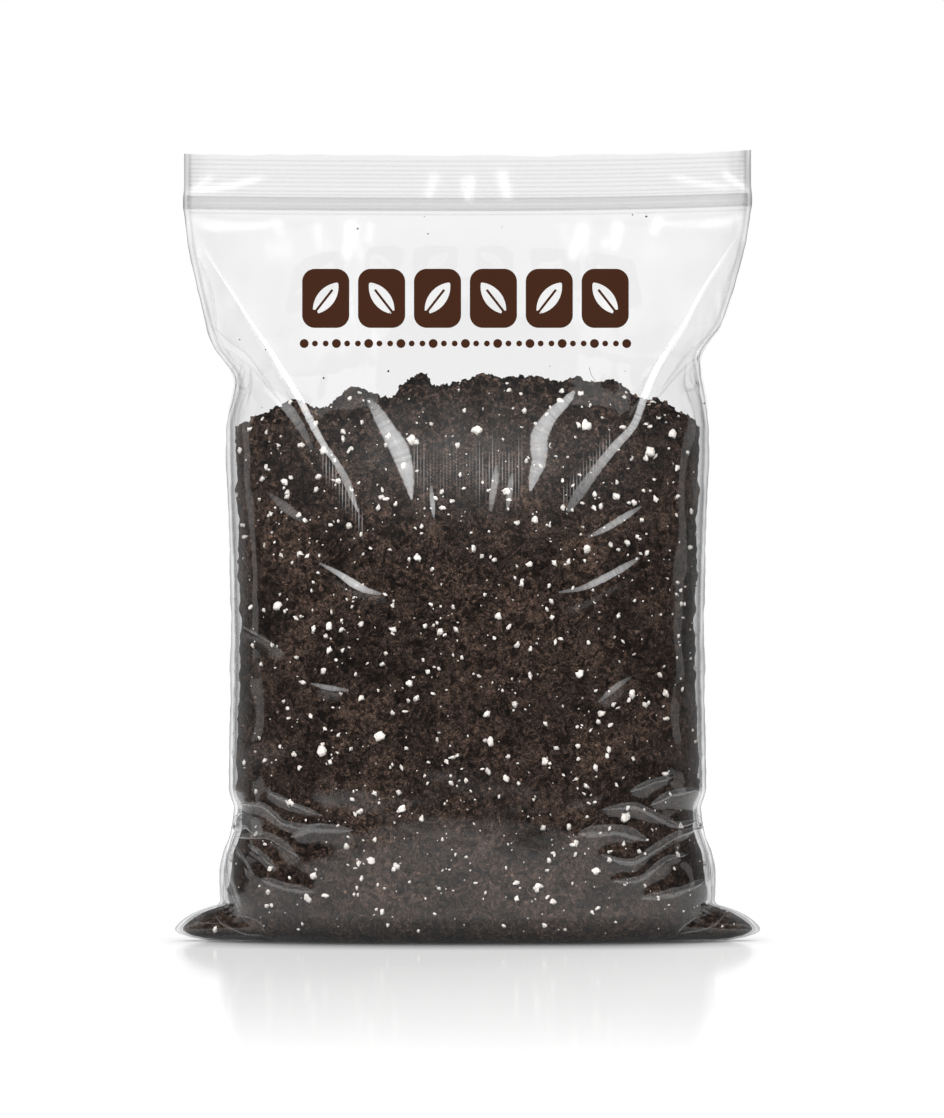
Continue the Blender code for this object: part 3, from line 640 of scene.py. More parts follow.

# Where the film is pulled tight from the shoulders over the fill, it catches the light in long gleams and
# wedges, with fine upright lines between them where it clings to the damp compost. These are painted
# highlights: strips of white laid on the film.
# across, up and half width in mm, then the painted sheen there
FRONT_PAINTED_GLEAMS = (
    ((-153, 401, 0.6, 0.08), (-129, 364, 0.9, 0.20), (-115, 343, 1.3, 0.28), (-98, 315, 2.0, 0.35),
     (-89, 297.5, 2.2, 0.31), (-83, 287, 1.9, 0.28), (-76, 277, 2.0, 0.21), (-70, 266, 2.4, 0.13),
     (-66, 255, 1.3, 0.15), (-63.5, 249, 0.6, 0.17)),
    ((156, 408, 0.6, 0.08), (135, 375, 1.0, 0.20), (124.6, 354, 1.4, 0.28), (111, 334, 1.9, 0.34),
     (103, 316, 2.2, 0.32), (97, 300, 2.3, 0.28), (85, 286, 2.8, 0.20), (75, 273.5, 3.0, 0.14),
     (64.5, 259, 3.4, 0.08), (58, 249, 1.4, 0.06)),
    ((-58, 315, 1.2, 0.03), (-52, 306, 3.8, 0.17), (-45.5, 295, 4.9, 0.25), (-40, 286, 5.9, 0.26),
     (-36.5, 276, 5.0, 0.26), (-34, 266, 3.1, 0.24), (-32.4, 256, 0.6, 0.22)),
    ((62, 319, 0.9, 0.17), (59, 315, 2.5, 0.22), (47, 302.5, 4.4, 0.24), (41.5, 290, 5.6, 0.24),
     (41.7, 280, 4.8, 0.22), (38.6, 269, 3.2, 0.21), (36.5, 261, 0.8, 0.20)),
    ((-21.2, 264, 0.7, 0.06), (-20.5, 256, 1.6, 0.17), (-20, 250, 1.3, 0.18), (-19.5, 245, 0.5, 0.06)),
    ((17, 276, 0.8, 0.06), (16, 267, 2.2, 0.15), (14.5, 258, 2.0, 0.13), (13.5, 249, 0.8, 0.04)),
    ((26, 271, 0.8, 0.06), (25, 264, 1.8, 0.12), (24, 256, 1.6, 0.12), (23, 250, 0.6, 0.04)),
    ((-86, 219, 0.6, 0.07), (-75, 213, 1.7, 0.20), (-66, 207, 2.5, 0.28), (-58, 203, 1.9, 0.20),
     (-50, 201, 0.8, 0.07)),
    ((53, 202, 0.7, 0.06), (65, 204, 1.5, 0.10), (77, 209, 2.2, 0.20), (90, 216, 2.2, 0.16),
     (100, 222, 0.7, 0.07)),
    ((70, 234, 0.7, 0.06), (80, 239, 2.0, 0.15), (90, 245, 2.2, 0.17), (101, 252, 0.7, 0.06)),
    ((76, 138, 0.8, 0.03), (85, 146, 2.0, 0.10), (95, 153, 0.8, 0.03)),
    ((-91, 149, 0.6, 0.06), (-80, 146.5, 1.6, 0.13), (-69, 145, 0.7, 0.06)),
    ((-118, 321, 2.0, 0.04), (-107, 312, 3.4, 0.11), (-98, 300, 2.8, 0.08), (-90, 285, 1.2, 0.02)),
    ((-116, 260, 1.0, 0.02), (-104, 250, 3.0, 0.06), (-94, 243, 1.2, 0.02)),
)


def hatch_line(across, high, middle, low, strong):
    """A thin upright line of painted highlight that is strongest in its middle and fades at both ends."""
    return (across, high, 0.25, 0), (across, middle, 0.45, strong), (across, low, 0.25, 0)


hatch_pitch = 1.9
draw = random.Random(5)
hatch_lines = []
for k in range(34):
    across = -31 + hatch_pitch * k
    middle = 1 - min(1, abs(across + 8) / 26)
    strong = draw.uniform(0.07, 0.17) * (1 - 0.35 * middle)
    high, low = draw.uniform(284, 298), draw.uniform(248, 262)
    hatch_lines.append(hatch_line(across, high, (high + low) / 2, low, strong))
for k in range(13):
    across = -84 + hatch_pitch * k
    high = 290 - 1.5 * (across + 84) - draw.uniform(0, 5)
    strong = draw.uniform(0.08, 0.2)
    hatch_lines.append(hatch_line(across, high, high - 8, high - 20, strong))
for k in range(15):
    across = 56 + hatch_pitch * k
    high = 268 + 1.15 * (across - 56) - draw.uniform(0, 4)
    strong = draw.uniform(0.06, 0.15)
    hatch_lines.append(hatch_line(across, high, high - 8, high - 18, strong))


def painted_gleam_strip(line, face, dotted, vertices, painted_sheens, polygons):
    """Adds a crisp strip of painted highlight along a line on the bag. A dotted one is broken into dashes."""
    corners = np.array(line, float)
    ends = np.concatenate([[0], np.cumsum(np.hypot(*np.diff(corners[:, :2], axis=0).T))])
    count = max(10, int(ends[-1] / (0.45 if dotted else 1.1)))
    at = np.linspace(0, ends[-1], count)
    across, up, half, milk = (smooth_curve(list(zip(ends, corners[:, k])), at) for k in range(4))
    slope_a, slope_u = np.gradient(across), np.gradient(up)
    run = np.hypot(slope_a, slope_u)
    thin = half.max() < 0.6
    shares = (-1, 0, 1) if thin else (-1, -0.8, -0.4, 0, 0.4, 0.8, 1)
    start = len(vertices)
    for k in range(count):
        ragged = 1 + (0 if thin else 0.16) * noise.noise((at[k] * 0.35, corners[0][0], 2))
        grain = 1 + (0 if thin else 0.45) * noise.noise((at[k] * 0.6, corners[0][0], 7))
        dash = 0.5 + 0.5 * math.cos(2 * math.pi * at[k] / hatch_pitch) if dotted else 1
        for share in shares:
            offset = share * half[k] * ragged
            a = across[k] - slope_u[k] / run[k] * offset
            u = up[k] + slope_a[k] / run[k] * offset
            seat, out = on_film(0.001 * a, 0.001 * u, face)
            vertices.append(tuple(seat + out * 0.0001))
            painted_sheens.append(milk[k] * grain * dash * (0 if abs(share) == 1 else 1 - 0.25 * abs(share)))
    width = len(shares)
    for k in range(count - 1):
        for j in range(width - 1):
            a = start + k * width + j
            polygons.append((a, a + 1, a + 1 + width, a + width))


vertices, painted_sheens, polygons = [], [], []
for face in (-1, 1):
    for line in FRONT_PAINTED_GLEAMS:
        painted_gleam_strip(line, face, False, vertices, painted_sheens, polygons)
    for k, line in enumerate(hatch_lines):
        painted_gleam_strip(line, face, 3 < k < 19, vertices, painted_sheens, polygons)
mesh = bpy.data.meshes.new("film_painted_gleams")
mesh.from_pydata(vertices, [], polygons)
paint(mesh, "milk", painted_sheens)
mesh.shade_smooth()
painted_gleams = add_piece("film_painted_gleams", mesh, "film")
painted_gleam_film = clear_plastic("painted_gleam_film", (1, 1, 1), (1, 1, 1), 0.2, 0.00001, "milk", mirror=0.0)
painted_gleams.data.materials.append(painted_gleam_film)

# The zip is two moulded strips of the same clear plastic, welded inside the mouth and pressed together.
# They show through the film as a band of fine grey lines that runs up a little at both ends.
# The zip plastic greys where it is seen edge-on, a painted shade that helps draw its grey lines.
zip_plastic = clear_plastic("zip_plastic", (0.97,) * 3, (0.8, 0.8, 0.805), 0.2, 0.00001, 0.01, mirror=0.8)
strip_columns = 150
for name in ("zip_rib_strip", "zip_groove_strip"):
    middle_z = (zip_low[2] + zip_high[2]) / 2
    front = -1 if name == "zip_rib_strip" else 1
    wall = front * (mouth_half - 0.0003)
    profile = [(wall, -0.0038), (wall - front * 0.0004, -0.0037)]
    for rail in (-0.0029, -0.0012, 0.0012, 0.0029):
        deep = 0.0011 if abs(rail) > 0.002 else 0.0015
        for turn in np.linspace(-1, 1, 7):
            bulge = math.sqrt(max(0, 1 - turn**2))
            profile.append((wall - front * (0.0004 + deep * 0.5 * bulge), rail + 0.00048 * turn))
    profile += [(wall - front * 0.0004, 0.0037), (wall, 0.0038)]
    vertices, polygons = [], []
    reach = zip_high[0] + 0.0078
    for column in np.linspace(-1, 1, strip_columns):
        crush = 1 - 0.75 * ease((abs(column) - 0.965) / 0.035)
        for y, z in profile:
            wave = 0.0004 * noise.noise((column * 30, z * 900, 1.5)) * (1 - crush)
            lift = float(mouth_bow(np.array(column * reach)))
            vertices.append((column * reach, y * crush + wave, middle_z + z + lift + wave))
    width = len(profile)
    for k in range(strip_columns - 1):
        for j in range(width):
            a, b = k * width + j, k * width + (j + 1) % width
            polygons.append((a, b, b + width, a + width))
    mesh = bpy.data.meshes.new(name)
    end_caps = [tuple(range(width)), tuple(range(len(vertices) - width, len(vertices)))]
    mesh.from_pydata(vertices, [], polygons + end_caps)
    close_up(mesh)
    strip = add_piece("fine_" + name, mesh, "zip", name)
    strip.data.materials.append(zip_plastic)

# Fine ribs run across the lip above the zip, so that fingers can pull it open, and one runs just below it.
rib_heights = (-0.0098, 0.0014, 0.0035, 0.0062, 0.0087, 0.0112, 0.0134, 0.0158, 0.0185, 0.0212)
vertices, polygons = [], []
for face in (-1, 1):
    for k, height in enumerate(rib_heights):
        start = len(vertices)
        for column in np.linspace(-1, 1, 120):
            x = column * (bag_half - 0.003)
            z = zip_high[2] + height + float(mouth_bow(np.array(x)))
            eye = Vector((x, face, z))
            hit, normal, _, _ = bag_surface.ray_cast(eye, Vector((0, -face, 0)))
            seat = hit if hit is not None else Vector((x, 0, z))
            half = 0.00032 * (1 - 0.6 * abs(noise.noise((column * 5, k, face))))
            for across, out in ((-1, 0), (-0.5, 0.85), (0.5, 0.85), (1, 0)):
                lift = face * (0.00006 + out * 0.00022)
                vertices.append((seat.x, seat.y + lift, seat.z + across * half))
        for step in range(119):
            for j in range(3):
                a = start + step * 4 + j
                polygons.append((a, a + 1, a + 5, a + 4))
mesh = bpy.data.meshes.new("grip_ribs")
mesh.from_pydata(vertices, [], polygons)
close_up(mesh)
ribs = add_piece("grip_ribs", mesh, "film")
# The ribs grey where they are seen edge-on, a painted shade.
rib_film = clear_plastic("rib_film", (0.965,) * 3, (0.7, 0.7, 0.71), 0.2, 0.00001, mirror=1.2)
ribs.data.materials.append(rib_film)

# The compost is dark peat and bark, pressed against the film and heaped a little in the middle.
# Its face is broken into crumbs and pores.
heap_rise = 0.022
heap_lean = 0.0117
clod_height = 0.0075
clod_pitch = 0.019
side_gap = 0.0032
wall_gap = 0.0013
fill_columns = 150
fill_walls = 205
fill_base = 40
fill_heap = 62


def heap_edge(x):
    """How high the compost stands against the walls: lumpy, heaped in the middle, and higher on the right."""
    out = x / body_half
    middle = 1 - np.clip(np.abs(out), 0, 1) ** 2
    clod = clod_height * np.array([noise.noise((v / clod_pitch, 3.1, 0)) for v in x]) * ease(4 * middle)
    rough = np.array([noise.noise((v / 0.006, 8.1, 0)) + noise.noise((v / 0.0028, 1.1, 0)) for v in x])
    return fill_height + (heap_rise + heap_lean * out) * middle + clod + 0.0016 * rough


def keep_inside(points, clearance):
    """Moves points inward until they are this far behind the film."""
    moved = []
    for point in points.tolist():
        near, normal, _, _ = bag_surface.find_nearest(point)
        depth = (near - Vector(point)).dot(normal)
        if depth < clearance:
            point = Vector(point) - normal * (clearance - depth)
        moved.append(tuple(point))
    return np.array(moved)


fill_rows = fill_heap + 2 * fill_walls + fill_base
mesh, flat = flat_grid("compost", fill_columns, fill_rows)
column = 0.45 * flat[:, 0] + 0.55 * np.sin(flat[:, 0] * math.pi / 2)
step = (flat[:, 1] + 1) / 2 * fill_rows
across_heap = np.clip(step / fill_heap, 0, 1) * 2 - 1
down = np.clip((step - fill_heap) / fill_walls, 0, 1)
across_base = np.clip((step - fill_heap - fill_walls) / fill_base, 0, 1) * 2 - 1
up = np.clip((step - fill_heap - fill_walls - fill_base) / fill_walls, 0, 1)
on_heap = step < fill_heap
on_base = (step > fill_heap + fill_walls) & (step < fill_heap + fill_walls + fill_base)
height_share = np.where(step < fill_heap + fill_walls + fill_base / 2, 1 - down, up)
top = heap_edge(column * body_half)
z = top * np.where(on_heap, 1, height_share)
side_waves = np.array([noise.noise((0.4, 0.4, 70 * h)) + noise.noise((9.4, 0.4, 200 * h)) for h in z])
wavy = side_gap + 0.0014 * side_waves
x = column * (bag_width_at(column, z) - weld - wavy)
depth = bag_depth_at(x, np.maximum(z, 0), wavy, wall_gap)
depth = np.where(np.abs(flat[:, 0]) > 0.9999, 0, depth)
front = step < fill_heap + fill_walls + fill_base / 2
y = np.where(on_heap, -across_heap, np.where(on_base, across_base, np.where(front, -1.0, 1.0))) * depth
clod = clod_height * noise_at(np.column_stack([x, y, z]), clod_pitch)
crown = (0.004 + clod) * np.cos(np.clip(across_heap, -1, 1) * math.pi / 2) ** 0.5
crown *= ease(5 * (1 - np.abs(x) / body_half))
z = np.where(on_heap, z + crown, np.maximum(z, 0.0006))
points = np.column_stack([x, y, z])
mesh.vertices.foreach_set("co", points.ravel())
mesh.update()
normals = points_of(mesh, "normal")
if (normals[on_heap & (np.abs(across_heap) < 0.5)][:, 2]).mean() < 0:
    normals = -normals
clods = noise_at(points, 0.011, 21)
crumbs = np.array([noise.voronoi(p)[0][0] for p in (points / 0.0042).tolist()])
grit = noise_at(points, 0.0021, 23)
relief = -0.0011 * np.clip(0.35 - clods, 0, 1) - 0.0013 * crumbs + 0.0003 * grit
near_top = ease((points[:, 2] - fill_height + 0.01) / 0.02)
relief += near_top * (0.0011 * noise_at(points, 0.008, 24) + 0.0011 * noise_at(points, 0.004, 25))
edge_guard = ease((1 - np.abs(flat[:, 0])) / 0.02) * ease(points[:, 2] / 0.004)
points += normals * (relief * edge_guard)[:, None]
points = keep_inside(points, 0.0004)
points[:, 2] = np.maximum(points[:, 2], 0.0005)
mesh.vertices.foreach_set("co", points.ravel())
close_up(mesh, 2e-5)
compost = add_piece("compost", mesh, "compost", "compost_fill")


def soil_group():
    """Peat and bark: dark crumbs with warm brown fibre streaks, as a colour and a height."""
    group = bpy.data.node_groups.new("soil", "ShaderNodeTree")
    group.interface.new_socket("Dark", in_out="INPUT", socket_type="NodeSocketColor")
    group.interface.new_socket("Brown", in_out="INPUT", socket_type="NodeSocketColor")
    group.interface.new_socket("Grain Scale", in_out="INPUT", socket_type="NodeSocketFloat")
    group.interface.new_socket("Color", in_out="OUTPUT", socket_type="NodeSocketColor")
    group.interface.new_socket("Height", in_out="OUTPUT", socket_type="NodeSocketFloat")
    nodes, links = group.nodes, group.links
    start, end = nodes.new("NodeGroupInput"), nodes.new("NodeGroupOutput")
    place = nodes.new("ShaderNodeTexCoord")
    grain = nodes.new("ShaderNodeTexNoise")
    grain.inputs["Detail"].default_value = 6.0
    grain.inputs["Roughness"].default_value = 0.7
    grain.inputs["Distortion"].default_value = 2.4
    links.new(place.outputs["Object"], grain.inputs["Vector"])
    links.new(start.outputs["Grain Scale"], grain.inputs["Scale"])
    patch = nodes.new("ShaderNodeTexNoise")
    patch.inputs["Scale"].default_value = 28.0
    patch.inputs["Detail"].default_value = 3.0
    links.new(place.outputs["Object"], patch.inputs["Vector"])
    total = nodes.new("ShaderNodeMath")
    total.operation = "MULTIPLY_ADD"
    links.new(patch.outputs["Fac"], total.inputs[0])
    total.inputs[1].default_value = 0.3
    links.new(grain.outputs["Fac"], total.inputs[2])
    ramp = nodes.new("ShaderNodeMapRange")
    ramp.inputs["From Min"].default_value = 0.60
    ramp.inputs["From Max"].default_value = 0.86
    links.new(total.outputs["Value"], ramp.inputs["Value"])
    colour = nodes.new("ShaderNodeMix")
    colour.data_type = "RGBA"
    links.new(ramp.outputs["Result"], colour.inputs["Factor"])
    links.new(start.outputs["Dark"], colour.inputs["A"])
    links.new(start.outputs["Brown"], colour.inputs["B"])
    # The colour is darkened and lightened in random clumps.
    clump = nodes.new("ShaderNodeTexNoise")
    clump.inputs["Scale"].default_value = 170.0
    clump.inputs["Detail"].default_value = 4.0
    clump.inputs["Roughness"].default_value = 0.6
    clump.inputs["Distortion"].default_value = 1.6
    links.new(place.outputs["Object"], clump.inputs["Vector"])
    clump_tone = nodes.new("ShaderNodeMapRange")
    clump_tone.inputs["From Min"].default_value = 0.40
    clump_tone.inputs["From Max"].default_value = 0.60
    clump_tone.inputs["To Min"].default_value = 0.22
    clump_tone.inputs["To Max"].default_value = 1.35
    links.new(clump.outputs["Fac"], clump_tone.inputs["Value"])
    pored = nodes.new("ShaderNodeVectorMath")
    pored.operation = "SCALE"
    links.new(colour.outputs["Result"], pored.inputs["Vector"])
    links.new(clump_tone.outputs["Result"], pored.inputs["Scale"])
    links.new(pored.outputs["Vector"], end.inputs["Color"])
    links.new(grain.outputs["Fac"], end.inputs["Height"])
    return group


soil = soil_group()


def soil_material(name, dark, brown, grain, height, toned=False):
    """Damp soil. A toned piece also takes each grain's own brightness from its tone attribute."""
    made, shader, output, add, links = new_material(name)
    colours = {"Dark": (*dark, 1), "Brown": (*brown, 1)}
    ground = add("ShaderNodeGroup", {"node_tree": soil}, Grain_Scale=grain, **colours)
    colour = ground.outputs["Color"]
    if toned:
        tone = add("ShaderNodeAttribute", {"attribute_name": "tone"})
        scaled = add("ShaderNodeVectorMath", {"operation": "SCALE"}, Vector=colour, Scale=tone.outputs["Fac"])
        colour = scaled.outputs["Vector"]
    links.new(colour, shader.inputs["Base Color"])
    bump = add("ShaderNodeBump", Strength=1.0, Distance=height, Height=ground.outputs["Height"])
    links.new(bump.outputs["Normal"], shader.inputs["Normal"])
    shader.inputs["Roughness"].default_value = 0.85
    shader.inputs["Specular IOR Level"].default_value = 0.25
    return made


compost_soil = soil_material("compost_soil", (0.010, 0.0072, 0.0062), (0.125, 0.082, 0.062), 420, 0.0012)
compost.data.materials.append(compost_soil)
compost_surface = BVHTree.FromObject(compost, bpy.context.evaluated_depsgraph_get())

# Loose crumbs of peat and bark lie on the compost's face and on its heap.
# They are chips of a few millimetres.
random.seed(11)


def chip(divisions, flatness, seed):
    """One rough grain, as a template for the scattered ones."""
    bm = bmesh.new()
    bmesh.ops.create_icosphere(bm, subdivisions=divisions, radius=0.5)
    for vertex in bm.verts:
        push = 1 + 0.55 * noise.noise(vertex.co * 2.6 + Vector((seed * 3.3, seed, 0)))
        push += 0.35 * noise.noise(vertex.co * 6.0 + Vector((seed, seed * 2.1, 4)))
        vertex.co *= push
        vertex.co.z *= flatness
    corners = np.array([v.co[:] for v in bm.verts])
    faces = np.array([[v.index for v in f.verts] for f in bm.faces])
    bm.free()
    return corners, faces


def surface_spot(face, low=0.0, high=None):
    """A random point on the compost's front (face -1) or back (face 1), and the way out of it there."""
    while True:
        z = random.uniform(low, high or fill_height + heap_rise)
        x = random.uniform(-0.97, 0.97) * float(bag_width_at(np.array(1.0), np.array(z)))
        hit, normal, _, _ = compost_surface.ray_cast(Vector((x, face, z)), Vector((0, -face, 0)))
        if hit is not None:
            return hit, normal


def heap_spot():
    """A random point on top of the heap, and the way out of it there."""
    while True:
        x = random.uniform(-0.95, 0.95) * body_half
        y = random.uniform(-1, 1) * 0.75 * body_depth
        hit, normal, _, _ = compost_surface.ray_cast(Vector((x, y, 1)), Vector((0, 0, -1)))
        if hit is not None and hit.z > 0.9 * fill_height:
            return hit, normal


def scatter(name, slot, templates, spots, clearance=0.00025, stands_for=()):
    """A piece of many grains: each spot is (template number, place, way out, size, stretch, sink, tone)."""
    vertices, faces, tones, count = [], [], [], 0
    for kind, place, out, size, stretch, sink, tone in spots:
        corners, sides = templates[kind]
        turn = Euler([random.uniform(0, 2 * math.pi) for _ in range(3)]).to_matrix()
        scale = np.array([1, stretch, 1]) * size
        turned = (corners * scale) @ np.array(turn)
        seat = Vector(place) - Vector(out) * sink * size
        vertices.append(turned + np.array(seat))
        faces.append(sides + count)
        tones.append(np.full(len(corners), tone))
        count += len(corners)
    vertices, faces = keep_inside(np.concatenate(vertices), clearance), np.concatenate(faces)
    vertices[:, 2] = np.maximum(vertices[:, 2], 0.0004)
    mesh = bpy.data.meshes.new(name)
    mesh.from_pydata(vertices.tolist(), [], faces.tolist())
    paint(mesh, "tone", np.concatenate(tones))
    mesh.shade_smooth()
    return add_piece(name, mesh, slot, *stands_for)


crumb_templates = [chip(1, 0.75, k) for k in range(6)]
spots = []
for k in range(6400):
    place, out = surface_spot(-1 if k % 2 else 1, 0.004)
    size = 0.0010 + 0.0026 * random.random() ** 3
    spots.append((k % 6, place, out, size, random.uniform(0.4, 1.6), 0.1, 0.3 + 3.4 * random.random() ** 3))
crumbs = scatter("compost_crumbs", "compost", crumb_templates, spots)
spots = []
for k in range(7000):
    place, out = heap_spot()
    size = 0.0013 + 0.0042 * random.random() ** 2
    spots.append((k % 6, place, out, size, random.uniform(0.5, 1.6), 0.0, 0.2 + 3.2 * random.random() ** 3))
heap_crumbs = scatter("heap_crumbs", "compost", crumb_templates, spots)
crumb_soil = soil_material(
    "crumb_soil", (0.015, 0.011, 0.0095), (0.09, 0.054, 0.037), 500, 0.0006, toned=True
)
for piece in (crumbs, heap_crumbs):
    piece.data.materials.append(crumb_soil)

# Perlite is volcanic glass blown up by heat into white, rough grains. The larger ones stand for the
# granules of the model, in their places, and hundreds of finer ones are spread all through the mix.
perlite_nodes = sorted(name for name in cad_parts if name.startswith("perlite_"))
perlite_templates = [chip(2, 0.8, k + 20) for k in range(6)]
large = []
for k, name in enumerate(perlite_nodes):
    low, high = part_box(name)
    place = (Vector(low) + Vector(high)) / 2
    size = max(high[0] - low[0], high[2] - low[2])
    large.append((k % 6, place, Vector((0, 0, 1)), size, random.uniform(0.75, 1.05), 0.0, 1.0))
grains = scatter("perlite_large", "perlite", perlite_templates, large, stands_for=perlite_nodes)

fine_templates = [chip(2, 0.7, k + 40) for k in range(6)]
spots = []
for k in range(1850):
    place, out = surface_spot(-1 if k % 2 else 1, 0.006)
    size = 0.0009 + 0.0034 * random.random() ** 2
    spots.append((k % 6, place, out, size, random.uniform(0.35, 0.95), -0.15, random.uniform(0.75, 1)))
for k in range(50):
    place, out = heap_spot()
    size = random.uniform(0.002, 0.005)
    spots.append((k % 6, place, out, size, random.uniform(0.6, 1.2), 0.1, random.uniform(0.7, 1)))
fine = scatter("perlite_fine", "perlite", fine_templates, spots, 0.00015)

white, shader, output, add, links = new_material("perlite_white")
where = add("ShaderNodeTexCoord")
pits = add("ShaderNodeTexNoise", Vector=where.outputs["Object"], Scale=900.0, Detail=3.0)
tone = add("ShaderNodeMapRange", Value=pits.outputs["Fac"])
tone.inputs["From Min"].default_value = 0.3
tone.inputs["From Max"].default_value = 0.6
# Painted shade: the white is darker where the pitted bump is low, in its hollows.
pit_shaded_white = add("ShaderNodeMix", {"data_type": "RGBA"})
pit_shaded_white.inputs["A"].default_value = (0.46, 0.41, 0.36, 1)
pit_shaded_white.inputs["B"].default_value = (0.80, 0.77, 0.73, 1)
links.new(tone.outputs["Result"], pit_shaded_white.inputs["Factor"])
each = add("ShaderNodeAttribute", {"attribute_name": "tone"})
scaled = add("ShaderNodeVectorMath", {"operation": "SCALE"}, Scale=each.outputs["Fac"])
links.new(pit_shaded_white.outputs["Result"], scaled.inputs["Vector"])
links.new(scaled.outputs["Vector"], shader.inputs["Base Color"])
bump = add("ShaderNodeBump", Strength=1.0, Distance=0.0004, Height=pits.outputs["Fac"])
links.new(bump.outputs["Normal"], shader.inputs["Normal"])
shader.inputs["Roughness"].default_value = 0.8
for piece in (grains, fine):
    piece.data.materials.append(white)

# Fibres of peat and thin roots run through the mix, warm brown against the dark crumbs.
bm = bmesh.new()
bmesh.ops.create_cone(bm, cap_ends=True, segments=3, radius1=0.5, radius2=0.4, depth=1)
lengthwise = [e for e in bm.edges if abs(e.verts[0].co.z - e.verts[1].co.z) > 0.5]
bmesh.ops.subdivide_edges(bm, edges=lengthwise, cuts=5)
bmesh.ops.triangulate(bm, faces=bm.faces)
straight = np.array([v.co[:] for v in bm.verts])
fibre_faces = np.array([[v.index for v in f.verts] for f in bm.faces])
bm.free()
vertices, faces, tones = [], [], []
for k in range(2500):
    place, out = surface_spot(-1 if k % 2 else 1, 0.004) if k % 12 else heap_spot()
    length = 0.002 + 0.008 * random.random() ** 2
    width = 0.00018 + 0.00022 * random.random()
    along = straight[:, 2]
    bend, twist = random.uniform(-0.35, 0.35), random.uniform(-2, 2)
    shape = np.column_stack([
        straight[:, 0] * width + bend * length * (1 - 4 * along**2) * 0.5,
        straight[:, 1] * width * 0.7,
        along * length + 0.06 * length * np.sin(twist + 5 * along),
    ])
    lie = out.to_track_quat("Y", "Z").to_matrix() @ Matrix.Rotation(random.uniform(0, 2 * math.pi), 3, "Y")
    vertices.append(shape @ np.array(lie).T + np.array(place + out * 0.0002))
    faces.append(fibre_faces + k * len(straight))
    tones.append(np.full(len(straight), 0.4 + 1.3 * random.random() ** 2))
mesh = bpy.data.meshes.new("fibres")
mesh.from_pydata(keep_inside(np.concatenate(vertices), 0.0002).tolist(), [], np.concatenate(faces).tolist())
paint(mesh, "tone", np.concatenate(tones))
fibres = add_piece("fibres", mesh, "compost")
fibres.data.materials.append(
    soil_material("fibre_brown", (0.045, 0.026, 0.017), (0.24, 0.15, 0.105), 180, 0.0002, toned=True)
)

# A few specks of compost and one thin root cling to the inside of the film above the heap.
# across and up in mm
SPECKS = ((-25, 421), (-23, 411), (-64, 414), (-120, 310), (-133, 349), (-46, 331), (-28, 329), (96, 422),
          (104, 421), (20, 415), (134, 324), (138, 312), (92, 331), (-118, 343), (-84, 327), (48, 334))
ROOT = ((71, 333), (72, 329), (75, 325), (79, 321))
vertices, faces = [], []
for k, (a, u) in enumerate(SPECKS):
    seat, out = on_film(0.001 * a, 0.001 * u, -1)
    corners, sides = crumb_templates[k % 6]
    faces += (sides + len(vertices)).tolist()
    vertices += (corners * (0.0007 + 0.0004 * (k % 3)) + np.array(seat - out * 0.001)).tolist()
route, _ = smooth_line(ROOT, 7)
root_points = [on_film(a, u, -1) for a, u in route]
sixth = (straight[:, 2] + 0.5) * 6
start = len(vertices)
for (x, thick, _), place in zip(straight, sixth):
    seat, out = root_points[min(6, int(round(place)))]
    vertices.append(tuple(seat - out * (0.0007 + 0.0003 * thick) + Vector((0.0003 * x, 0, 0))))
faces += (fibre_faces + start).tolist()
mesh = bpy.data.meshes.new("specks")
mesh.from_pydata(vertices, [], faces)
paint(mesh, "tone", [0.8] * len(vertices))
specks = add_piece("specks", mesh, "compost")
specks.data.materials.append(crumb_soil)

# A plain design is printed on the headspace in dark brown ink: a row of rounded tiles with leaves left clear,
# and a row of dots under it. The ink lies on the outside of the front wall.
tile_half = (0.0137, 0.0172)
tile_round = 0.0075
tile_pitch = 0.0325
tiles = 6
print_middle = (-0.0012, 0.3730)
dots_up = 0.3467


def box_distance(x, z, half, corner):
    """How far outside a rounded box each point is. It is negative inside."""
    across, up = np.abs(x) - half[0] + corner, np.abs(z) - half[1] + corner
    return np.hypot(np.maximum(across, 0), np.maximum(up, 0)) + np.minimum(np.maximum(across, up), 0) - corner


def leaf_distance(x, z, length, width):
    """How far outside a pointed leaf each point is, upright, with its middle at the origin."""
    radius = (length**2 / 4 + width**2 / 4) / width
    offset = radius - width / 2
    return np.hypot(np.abs(x) + offset, z) - radius


def ink_distance(across, up):
    """How far outside the ink each point of the picture plane is."""
    ink = np.full(across.shape, 1.0)
    for k in range(tiles):
        x = across - print_middle[0] - (k - (tiles - 1) / 2) * tile_pitch
        z = up - print_middle[1]
        tile = box_distance(x, z, tile_half, tile_round)
        lean = math.radians(38 if k % 2 else -38)
        leaf_x = x * math.cos(lean) + z * math.sin(lean)
        leaf_z = z * math.cos(lean) - x * math.sin(lean)
        leaf = leaf_distance(leaf_x, leaf_z, 0.0235, 0.0102)
        rib = np.maximum(np.abs(leaf_x) - 0.0007, np.abs(leaf_z + 0.0024) - 0.0088)
        ink = np.minimum(ink, np.maximum(tile, np.minimum(-leaf, 1)))
        ink = np.minimum(ink, rib)
    for k in range(31):
        x = across - print_middle[0] - (k - 15) * 0.00625
        wide = 0.0017 if k % 3 else 0.0026
        ink = np.minimum(ink, np.hypot(x, up - dots_up) - wide)
    return ink


